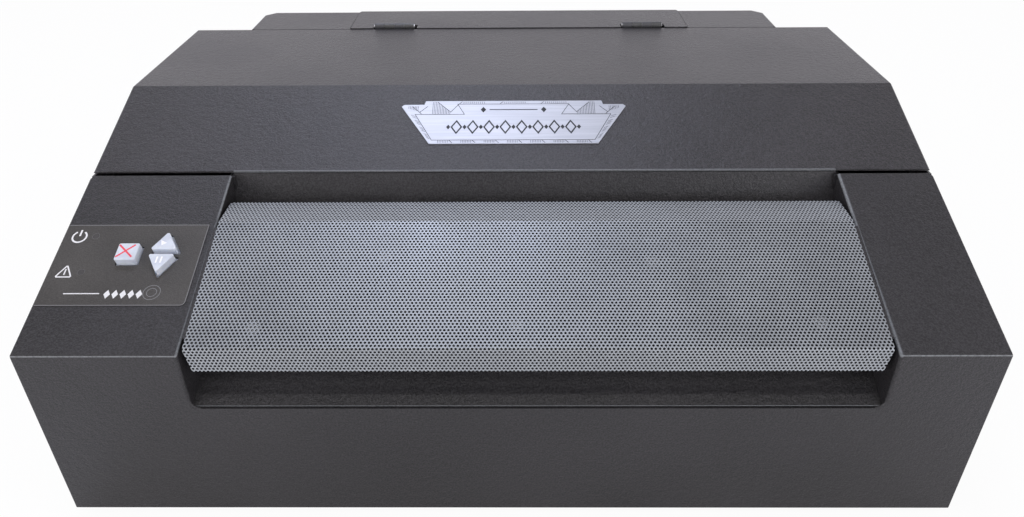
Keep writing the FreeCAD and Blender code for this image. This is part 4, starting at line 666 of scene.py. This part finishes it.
# %% Fold and thicken one strip
def thick_folded(flat, name):
    """Mesh of the folded strip: upper side, underside, and walls on every open edge."""
    flat.verts.ensure_lookup_table()
    flat.verts.index_update()
    count = len(flat.verts)
    tops = [(v.co.x, *folded(v.co.y, 0.0)) for v in flat.verts]
    unders = [(v.co.x, *folded(v.co.y, SHEET_THICK)) for v in flat.verts]
    faces = [[v.index for v in face.verts] for face in flat.faces]
    walls = []
    for face in flat.faces:
        for loop in face.loops:
            if len(loop.edge.link_faces) == 1:
                a = loop.vert.index
                b = loop.link_loop_next.vert.index
                walls.append((b, a, a + count, b + count))
    under_faces = [[i + count for i in reversed(face)] for face in faces]
    mesh = bpy.data.meshes.new(name)
    mesh.from_pydata(tops + unders, [], faces + under_faces + walls)
    is_wall = [False] * (2 * len(faces)) + [True] * len(walls)
    mesh.polygons.foreach_set("use_smooth", is_wall)
    mesh.materials.append(FINISHES["ramp_metal"])
    # the walls of the holes take the nearly black finish, painted shade inside the holes
    mesh.materials.append(FINISHES["hole_wall_shade"])
    mesh.polygons.foreach_set("material_index", [int(wall) for wall in is_wall])
    mesh.update()
    return mesh


print("walls of the holes are", round(SHEET_THICK / MM, 1), "mm high")

# %% Make the sheet in strips
STRIPS = 8
rows = int(FLAT_LENGTH / ROW_STEP) + 3
columns = int((ramp_high.x - ramp_low.x) / PITCH) + 2
faces_made = 0
for strip in range(STRIPS):
    first = strip * columns // STRIPS - (1 if strip == 0 else 0)
    last = (strip + 1) * columns // STRIPS + (1 if strip == STRIPS - 1 else 0)
    flat = tiled_strip(first, last, rows)
    cut_line(flat, (0.0, 0.0), (0.0, -1.0))
    cut_line(flat, (0.0, FLAT_LENGTH), (0.0, 1.0))
    for mark in fold_marks():
        cut_line(flat, (0.0, mark), (0.0, 1.0), drop=False)
    for edge, side in ((ramp_low.x, -1.0), (ramp_high.x, 1.0)):
        if (side < 0 and strip == 0) or (side > 0 and strip == STRIPS - 1):
            cut_line(flat, (edge, 0.0), (side, 0.0))
            cut_line(flat, (edge, LIP), (side * LIP, -LIP_TAPER))
            cut_line(flat, (edge - side * REAR_CLIP, FLAT_LENGTH), (side, 1.0))
    mesh = thick_folded(flat, "ramp_sheet_%d" % strip)
    flat.free()
    piece = bpy.data.objects.new(mesh.name, mesh)
    bpy.context.scene.collection.objects.link(piece)
    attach(piece, "chassis")
    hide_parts("perforated_ramp")
    faces_made += len(mesh.polygons)
print(STRIPS, "strips,", faces_made, "faces")

# %% [markdown]
# Eight pale pads sit under the sheet and show through its holes. Each is a flat disc that
# follows the sheet at its own place.

# %% Pads under the sheet
PAD_RADIUS = 4.4 * MM
PAD_THICK = 0.6 * MM
PAD_SIDES = 24
PAD_GAP = 0.05 * MM
# x, and distance up the main facet
PADS = ((-77.2, 65.6), (-149.2, 15.0), (-125.8, 101.8), (-2.9, 105.0),
        (88.3, 62.1), (182.1, 18.4), (155.8, 106.7), (4.9, 16.7))
PAD_START = LIP - trim_fold + FOLD_RADIUS * FOLD_TURN - trim_fold

pad_verts, pad_faces = [], []
for x, along in PADS:
    first = len(pad_verts)
    under = first + PAD_SIDES
    ring = [math.tau * i / PAD_SIDES for i in range(PAD_SIDES)]
    for depth in (SHEET_THICK + PAD_GAP, SHEET_THICK + PAD_GAP + PAD_THICK):
        for a in ring:
            y, z = folded(PAD_START + along * MM + PAD_RADIUS * math.sin(a), depth)
            pad_verts.append((x * MM + PAD_RADIUS * math.cos(a), y, z))
    pad_faces.append(tuple(range(first, under)))
    pad_faces.append(tuple(reversed(range(under, under + PAD_SIDES))))
    for i in range(PAD_SIDES):
        j = (i + 1) % PAD_SIDES
        pad_faces.append((first + i, under + i, under + j, first + j))
print(len(PADS), "pads")

# %% [markdown]
# ## Pieces from lists of points
# The pads and all the marks below become objects in the same way, so one function makes the
# mesh, turns its faces outwards, gives it a finish and ties it to the body that carries it.


# %% One function for every small piece
def small_piece(name, verts, faces, material, body, slot):
    mesh = bpy.data.meshes.new(name)
    mesh.from_pydata(verts, [], faces)
    shell = bmesh.new()
    shell.from_mesh(mesh)
    bmesh.ops.recalc_face_normals(shell, faces=shell.faces[:])
    shell.to_mesh(mesh)
    shell.free()
    mesh.materials.append(material)
    piece = bpy.data.objects.new(name, mesh)
    bpy.context.scene.collection.objects.link(piece)
    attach(piece, body)


FINISHES["pad"] = finish("pad", moulded((0.42, 0.43, 0.45), 0.55, 1500.0, 0.03))
small_piece("ramp_pads", pad_verts, pad_faces, FINISHES["pad"], "chassis", "ramp_metal")
print("pads in place")

# %% [markdown]
# ## Strokes on the slope
# A legend is a set of strokes and filled outlines. A stroke is a path with a width, mitred at
# its corners, and both become thin solid prisms between two heights on the slope. They start a
# little below the surface that carries them, so no gap shows under them.


# %% Strokes and outlines
def across(a, b):
    way = (b - a).normalized()
    return Vector((-way.y, way.x))


def stroke(points, width, closed=False):
    """Left and right edges of a stroke, in millimetres on the slope."""
    path = [Vector(p) for p in points]
    count = len(path)
    left, right = [], []
    for i, here in enumerate(path):
        one = other = None
        if closed or i > 0:
            one = across(path[i - 1], here)
        if closed or i < count - 1:
            other = across(here, path[(i + 1) % count])
        one = one or other
        other = other or one
        shift = (one + other) * (width / 2 / (1 + one.dot(other)))
        left.append(here + shift)
        right.append(here - shift)
    return left, right, closed


def arc(x, s, radius, start, stop, steps):
    """Points of a circular arc, with angles in degrees from the right, anticlockwise."""
    angles = [math.radians(start + (stop - start) * i / steps) for i in range(steps + 1)]
    return [(x + radius * math.cos(a), s + radius * math.sin(a)) for a in angles]


def lozenge(x, s, half_wide, half_high):
    return [(x + half_wide, s), (x, s + half_high), (x - half_wide, s), (x, s - half_high)]


print("a quarter circle has", len(arc(0, 0, 1, 0, 90, 8)), "points")

# %% Marks
SUNK = 0.05


def marks(name, strokes, fills, surface, rise, material, body, slot):
    """Strokes and filled outlines as one piece that stands a rise proud of a surface."""
    verts, faces = [], []

    def raised(loop):
        first = len(verts)
        verts.extend(on_slope(x, s, surface - SUNK) for x, s in loop)
        verts.extend(on_slope(x, s, surface + rise) for x, s in loop)
        return first

    for left, right, closed in strokes:
        n = len(left)
        a = raised(left)
        b = raised(right)
        for i in range(n if closed else n - 1):
            j = (i + 1) % n
            faces += [(a + n + i, b + n + i, b + n + j, a + n + j), (a + i, a + j, b + j, b + i),
                      (a + i, a + n + i, a + n + j, a + j), (b + i, b + j, b + n + j, b + n + i)]
        if not closed:
            faces += [(a, b, b + n, a + n), (a + n - 1, a + 2 * n - 1, b + 2 * n - 1, b + n - 1)]
    for loop in fills:
        n = len(loop)
        a = raised(loop)
        faces += [tuple(range(a + n, a + 2 * n)), tuple(reversed(range(a, a + n)))]
        faces += [(a + i, a + (i + 1) % n, a + n + (i + 1) % n, a + n + i) for i in range(n)]
    small_piece(name, verts, faces, material, body, slot)


print("marks are sunk", SUNK, "mm into what carries them")

# %% [markdown]
# ## The label and the keys
# The label carries a thin pale outline, and a power sign and a triangle, each beside its light,
# which has a faint ring. A rule, five lozenges and a double ring run along the lower edge of the
# label. The keys are marked with a red cross, a white arrowhead and two white bars. Marks that
# cross each other rise to different heights, so that no two faces lie in one plane.


# %% Inks
def ink(colour, gloss):
    return finish("ink_%02d%02d%02d" % tuple(int(99 * c) for c in colour),
                  moulded(colour, gloss, 900.0, 0.01, 0.07))


INKS = {
    "white": ink((0.78, 0.78, 0.79), 0.42),
    "thin_grey": ink((0.20, 0.20, 0.205), 0.40),
    "faint_grey": ink((0.115, 0.112, 0.112), 0.40),
    "red": ink((0.80, 0.075, 0.11), 0.40),
    "key_white": ink((0.92, 0.92, 0.93), 0.35),
    "etched": ink((0.018, 0.020, 0.024), 0.62),
    "etched_pale": ink((0.075, 0.08, 0.09), 0.58),
}
print("inks:", ", ".join(INKS))

# %% Label outline
LABEL = (-285.0, -194.0, 34.3, 96.6)
FILM = 0.30
CORNER, INSET = 3.0, 0.3
OUTLINE_WIDE = 0.5

x0, x1, s0, s1 = LABEL
border = ([(x0 + INSET, s0 + INSET)] + arc(x1 - CORNER, s0 + CORNER, CORNER - INSET, -90, 0, 8)
          + [(x1 - INSET, s1 - INSET), (x0 + INSET, s1 - INSET)])
marks("label_outline", [stroke(border, OUTLINE_WIDE)], [], FILM, 0.06,
      INKS["thin_grey"], "chassis", "label_print")
print("label", round(x1 - x0, 1), "x", round(s1 - s0, 1), "mm")

# %% Signs on the label
POWER_SIGN, POWER_RADIUS = (-275.2, 86.8), 4.4
FAULT_SIGN, FAULT_CUT = (-274.7, 59.4), 0.7
FAULT_CORNERS = ((-4.9, -4.0), (4.9, -4.0), (0.0, 4.7))
SIGN_WIDE, TRIANGLE_WIDE = 1.1, 0.85
RULE, RULE_WIDE = ((-270.0, 43.0), (-248.0, 43.0)), 0.7
LOZENGE_START, LOZENGE_PITCH = (-243.3, 42.5), 4.9

px, ps = POWER_SIGN
fx, fs = FAULT_SIGN
triangle = [Vector((fx + x, fs + s)) for x, s in FAULT_CORNERS]
rounded = []
for i, corner in enumerate(triangle):
    for other in (triangle[i - 1], triangle[(i + 1) % 3]):
        rounded.append(corner + (other - corner).normalized() * FAULT_CUT)
signs = [stroke(arc(px, ps, POWER_RADIUS, 122, 418, 32), SIGN_WIDE),
         stroke([(px, ps + 0.6), (px, ps + 5.5)], SIGN_WIDE),
         stroke(rounded, TRIANGLE_WIDE, closed=True),
         stroke([(fx, fs - 2.4), (fx, fs + 2.0)], TRIANGLE_WIDE),
         stroke(RULE, RULE_WIDE)]
row_x, row_s = LOZENGE_START
row = [lozenge(row_x + LOZENGE_PITCH * i, row_s, 2.0, 3.2) for i in range(5)]
marks("label_signs", signs, row, FILM, 0.07, INKS["white"], "chassis", "label_print")
print(len(signs), "strokes and", len(row), "lozenges")

# %% Rings on the label
RINGS_MIDDLE, RINGS_RADII, RING_WIDE = (-216.4, 43.8), (5.2, 3.0), 0.45
LAMP_X, LAMP_PLACES, LAMP_RIM, RIM_WIDE = -264.7, (87.3, 59.0), 2.2, 0.30

rings = [stroke(arc(*RINGS_MIDDLE, radius, 0, 345, 31), RING_WIDE, closed=True)
         for radius in RINGS_RADII]
marks("label_rings", rings, [], FILM, 0.05, INKS["thin_grey"], "chassis", "label_print")
rims = [stroke(arc(LAMP_X, along, LAMP_RIM, 0, 345, 23), RIM_WIDE, closed=True)
        for along in LAMP_PLACES]
marks("lamp_rims", rims, [], FILM, 0.05, INKS["faint_grey"], "chassis", "label_print")
print(len(rings) + len(rims), "rings")

# %% Keys
KEY_TOP = 5.2
CANCEL_MIDDLE, PAUSE_MIDDLE = (-239.0, 71.8), (-216.3, 64.9)
ARM_X, ARM_S = 5.0, 4.7
ARROWHEAD = [(-219.0, 80.2), (-217.8, 76.0), (-214.7, 78.0)]
BAR_ASIDE, BAR_HALF = 1.4, 2.4

x, s = CANCEL_MIDDLE
for number, (way, rise) in enumerate(((-1, 0.05), (1, 0.04))):
    arm = stroke([(x - ARM_X * way, s - ARM_S), (x + ARM_X * way, s + ARM_S)], SIGN_WIDE)
    marks("cancel_sign_%d" % number, [arm], [], KEY_TOP, rise, INKS["red"],
          "cancel_key", "key_plastic")
marks("run_sign", [], [ARROWHEAD], KEY_TOP, 0.05, INKS["key_white"], "run_key", "key_plastic")
x, s = PAUSE_MIDDLE
bars = [stroke([(x + aside, s - BAR_HALF), (x + aside, s + BAR_HALF)], SIGN_WIDE)
        for aside in (-BAR_ASIDE, BAR_ASIDE)]
marks("pause_sign", bars, [], KEY_TOP, 0.05, INKS["key_white"], "pause_key", "key_plastic")
print("keys marked")

# %% [markdown]
# ## The badge
# The plate has an etched frame: a thin line around the middle field, patches of close hatching
# along the bands, and zigzags with hatching in the two upper corners. The field has a plain row
# of lozenges along its middle.

# %% Badge frame and bands
PLATE = 0.80
MIDDLE = 2.5
FRAME_INK = 0.42
HATCH_INK = 0.36
HATCH_PITCH = 1.15
FIELD = ((-55.5, 172.5), (60.0, 172.5), (73.0, 198.8), (37.4, 198.8), (43.0, 209.6),
         (-38.5, 209.6), (-33.2, 198.8), (-69.0, 198.8))
LOWER_BAND, LOWER_START, LOWER_PITCH, LOWER_WIDE = (169.8, 172.1), -51.0, 16.4, 7.4
UPPER_BAND, UPPER_STARTS, UPPER_WIDE = (210.2, 212.2), (-34.0, -4.0, 26.0), 15.0


def hatch(x_from, x_to, band, pitch=HATCH_PITCH):
    """Upright strokes between the two heights of a band."""
    lowest, highest = band
    count = int((x_to - x_from) / pitch)
    return [stroke([(x_from + pitch * i, lowest), (x_from + pitch * i, highest)], HATCH_INK)
            for i in range(count + 1)]


lines = [stroke(FIELD, FRAME_INK, closed=True)]
hatching = []
for i in range(7):
    start = LOWER_START + LOWER_PITCH * i
    hatching += hatch(start, start + LOWER_WIDE, LOWER_BAND)
    lines.append(stroke([(start + 7.9, 172.3), (start + 10.2, 169.6)], FRAME_INK))
for start in UPPER_STARTS:
    hatching += hatch(start, start + UPPER_WIDE, UPPER_BAND, pitch=1.5)
    lines.append(stroke([(start - 3.4, 209.8), (start - 1.2, 212.3)], FRAME_INK))
print(len(hatching), "strokes in the bands")


# %% Badge corners and sides
def line_through(a, b):
    return lambda x: a[1] + (b[1] - a[1]) * (x - a[0]) / (b[0] - a[0])


def on_side(side, points, width):
    """A stroke drawn for the plate's right half, or its mirror image for the left one."""
    return stroke([(MIDDLE + side * x, s) for x, s in points], width)


PEAK = ((40.3, 209.4), (45.8, 201.2), (55.6, 211.8))
SMALL_PEAK = ((62.8, 207.4), (68.4, 201.0), (74.0, 207.0))
under_peak = line_through(PEAK[1], PEAK[2])
field_edge = line_through((172.5, 57.5), (198.8, 70.5))
plate_edge = line_through((168.9, 59.6), (209.1, 82.0))
for side in (-1, 1):
    lines.append(on_side(side, PEAK, FRAME_INK))
    lines.append(on_side(side, SMALL_PEAK, FRAME_INK))
    lines.append(on_side(side, [SMALL_PEAK[1], (66.9, 199.0)], FRAME_INK))
    for x in [46.4 + HATCH_PITCH * i for i in range(12)]:
        top = min(under_peak(x), 212.1)
        hatching.append(on_side(side, [(x, 199.2), (x, top)], HATCH_INK))
    for x in [69.8 + HATCH_PITCH * i for i in range(7)]:
        hatching.append(on_side(side, [(x, 202.4 + 0.36 * (x - 69.8)), (x, 207.6)], HATCH_INK))
    for i in range(14):
        s = 174.6 + 1.75 * i
        if i % 4 != 3:
            ends = [(field_edge(s) + 0.8, s - 0.9), (plate_edge(s) - 1.0, s + 0.9)]
            hatching.append(on_side(side, ends, HATCH_INK))
marks("badge_lines", lines, [], PLATE, 0.05, INKS["etched"], "lid", "plate_metal")
marks("badge_hatching", hatching, [], PLATE, 0.04, INKS["etched_pale"], "lid", "plate_metal")
print(len(lines), "lines,", len(hatching), "strokes of hatching")

# %% Badge ornament
FIELD_LINE, TOP_LINE = 185.6, 203.6
ORNAMENT_PITCH = 11.7

ornaments = [lozenge(MIDDLE - 46.8 + ORNAMENT_PITCH * i, FIELD_LINE, 1.5, 2.4) for i in range(9)]
frames = [stroke(lozenge(MIDDLE - 40.95 + ORNAMENT_PITCH * i, FIELD_LINE, 3.6, 6.2), 1.1,
                 closed=True) for i in range(8)]
ornaments += [lozenge(MIDDLE + aside, TOP_LINE, 2.0, 3.0) for aside in (-22.0, 22.0)]
frames.append(stroke([(MIDDLE - 17.5, TOP_LINE), (MIDDLE + 17.5, TOP_LINE)], 0.8))
marks("badge_ornament", frames, ornaments, PLATE, 0.06, INKS["etched"], "lid", "plate_metal")
print(len(ornaments), "lozenges and", len(frames), "strokes")

# %% [markdown]
# ## Parts of two materials
# Some CAD solids stand for pieces that are made of several materials. Their finishes change by
# place: inside a given box, or within a given distance of an axis, the colour of the inner part
# takes over. So the board has chips, cans and a heat sink, and the motors have bright end caps.
# The teeth of the belts are in colour and bump, and the vents of the power supply are dark dots
# in a grid, painted shade for the dark inside of each hole. Both lie deep inside, where real ones
# would hardly show.


# %% Finishes by place
def inside(recipe, low, high):
    """1 inside a box given in millimetres, where None leaves a side open."""
    total = 1.0
    for index in range(3):
        here = recipe.axis(index)
        for limit, test in ((low[index], "GREATER_THAN"), (high[index], "LESS_THAN")):
            if limit is not None:
                total = recipe.node("ShaderNodeMath", {"operation": test},
                                    {0: here, 1: limit * MM}) * total
    return total


def by_place(base, regions, grain_scale=1200.0, relief=0.02):
    """base and each region's look are (colour, roughness, metallic); a region adds its box."""
    def build(recipe):
        grain = recipe.noise(grain_scale, 2.0)
        cloud = recipe.noise(30.0, 2.0)
        colour, gloss, metal = (*base[0], 1.0), base[1], base[2]
        for look, low, high in regions:
            here = inside(recipe, low, high)
            colour = recipe.blend(colour, (*look[0], 1.0), here)
            gloss = here * (look[1] - base[1]) + gloss
            metal = here * (look[2] - base[2]) + metal
        shade = recipe.spread(grain, 0.90, 1.08) * recipe.spread(cloud, 0.94, 1.05)
        colour = recipe.node("ShaderNodeVectorMath", {"operation": "SCALE"},
                             {0: colour, "Scale": shade})
        return {"Base Color": colour, "Roughness": gloss, "Metallic": metal,
                "Normal": recipe.bump(grain, relief * MM)}
    return build


CHIP = ((0.022, 0.022, 0.024), 0.45, 0.0)
SLEEVE = ((0.02, 0.035, 0.11), 0.35, 0.0)
BRIGHT = ((0.72, 0.73, 0.74), 0.32, 0.9)
BRASS = ((0.62, 0.46, 0.20), 0.30, 0.9)
CREAM = ((0.70, 0.66, 0.55), 0.45, 0.0)
BLACK = ((0.026, 0.026, 0.028), 0.42, 0.0)
GREEN = ((0.018, 0.13, 0.055), 0.32, 0.0)
WHITE = ((0.75, 0.75, 0.75), 0.40, 0.0)
print("brass has colour, roughness and metallic", BRASS)

# %% The main board
BOARD_TOP = 17.1
POST_TOP = 15.4
OPEN = (None, None, None)
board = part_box("main_board")
board_x, board_y = board[0].x / MM, board[0].y / MM


def on_board(x_from, y_from, x_to, y_to, rise=0.1):
    """Box over part of the board, in millimetres from its corner, open at the top."""
    return ((board_x + x_from, board_y + y_from, BOARD_TOP + rise),
            (board_x + x_to, board_y + y_to, None))


BOARD_PARTS = [
    (BRASS, OPEN, (None, None, POST_TOP)),
    (CHIP, *on_board(49, 29, 75, 55)),
    (CHIP, *on_board(89, 33, 105, 51)),
    (CHIP, *on_board(13, 69, 35, 83)),
    (SLEEVE, *on_board(13, 13, 59, 27)),
    (BRIGHT, *on_board(13, 13, 59, 27, rise=17.9)),
    (BRIGHT, *on_board(87, 65, 137, 91)),
    (CREAM, *on_board(59, 3, 133, 12)),
]
print("board corner", round(board_x, 1), round(board_y, 1), "with", len(BOARD_PARTS), "parts")

# %% Motors and rocker
HEAD_CAPS = (8, 31)
FEED_CAPS = (11, 13)
head_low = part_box("head_motor")[0].z / MM
feed_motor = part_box("feed_motor")
feed_low, feed_high = feed_motor[0].x / MM, feed_motor[1].x / MM
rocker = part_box("power_rocker")
rx, rz = (rocker[0].x + rocker[1].x) / 2 / MM, (rocker[0].z + rocker[1].z) / 2 / MM
PLACED = {
    "main_board": by_place(GREEN, BOARD_PARTS),
    "head_motor": by_place(BLACK, [(BRIGHT, OPEN, (None, None, head_low + HEAD_CAPS[0])),
                                   (BRIGHT, (None, None, head_low + HEAD_CAPS[1]), OPEN)]),
    "feed_motor": by_place(BLACK, [(BRIGHT, OPEN, (feed_low + FEED_CAPS[0], None, None)),
                                   (BRIGHT, (feed_high - FEED_CAPS[1], None, None), OPEN)]),
    "power_rocker": by_place(BLACK, [(WHITE, (rx - 0.5, None, rz + 2.6),
                                      (rx + 0.5, None, rz + 5.8))]),
}
for node, build in PLACED.items():
    dress(NODES[node], finish(node + "_finish", build))
print("finished by place:", ", ".join(PLACED))

# %% Hinges with bright pins, and toothed belts
HINGE_AXIS = (0.0, 0.1544, 0.21555)
PIN_RADIUS, PIN_EDGE = 1.50 * MM, 1.62 * MM
TEETH_SCALE = 62.0


def hinge_with_pin(recipe):
    flat = recipe.place((0.0, 1.0, 1.0))
    away = recipe.node("ShaderNodeVectorMath", {"operation": "DISTANCE"},
                       {0: flat, 1: HINGE_AXIS}, output=1)
    pin = recipe.between(away, PIN_RADIUS, PIN_EDGE, 1.0, 0.0)
    grain = recipe.noise(900.0, 2.0)
    dark = recipe.blend(grey(0.06), grey(0.09), recipe.spread(grain))
    return {"Base Color": recipe.blend(dark, grey(0.7), pin), "Metallic": pin * 0.6 + 0.3,
            "Roughness": 0.36 + grain * 0.06, "Normal": recipe.bump(grain, 0.02 * MM)}


def toothed(direction):
    def build(recipe):
        teeth = recipe.node("ShaderNodeTexWave", {"bands_direction": direction},
                            {"Vector": recipe.place(), "Scale": TEETH_SCALE})
        grain = recipe.noise(1600.0, 2.0)
        colour = recipe.blend(grey(0.014), grey(0.034), recipe.between(teeth, 0.2, 0.8))
        return {"Base Color": colour, "Roughness": 0.60 + grain * 0.08,
                "Normal": recipe.bump(teeth, 0.5 * MM)}
    return build


for node, build in (("cover_hinge_leaves", hinge_with_pin), ("head_belt", toothed("X")),
                    ("feed_belt", toothed("Y"))):
    dress(NODES[node], finish(node + "_finish", build))
print("hinges and belts finished")

# %% Power supply case with vents painted as dots of shade
SUPPLY_TOP = 47.3
VENTS = ((-165.0, -5.0, None), (-45.0, 70.0, None))
VENT_SCALE = 190.0


def vented_case(recipe):
    cells = recipe.node("ShaderNodeTexVoronoi", {"voronoi_dimensions": "2D"},
                        {"Vector": recipe.place(), "Scale": VENT_SCALE, "Randomness": 0.0})
    top = inside(recipe, (None, None, SUPPLY_TOP), OPEN)
    # Each vent is a black dot, painted shade for the dark inside of the hole, sunk a little by the
    # bump.
    hole = recipe.between(cells, 0.27, 0.31, 1.0, 0.0) * top * inside(recipe, *VENTS)
    lines = recipe.noise(500.0, 3.0, ALONG_X)
    metal = recipe.blend(grey(0.55, -0.02), grey(0.68, -0.02), recipe.spread(lines))
    return {"Base Color": recipe.blend(metal, grey(0.01), hole), "Metallic": 0.9 - hole * 0.9,
            "Roughness": 0.36 + lines * 0.1,
            "Normal": recipe.bump(hole * -1.0 + lines * 0.02, 0.4 * MM)}


dress(NODES["power_supply"], finish("vented_case", vented_case))
print("power supply finished")
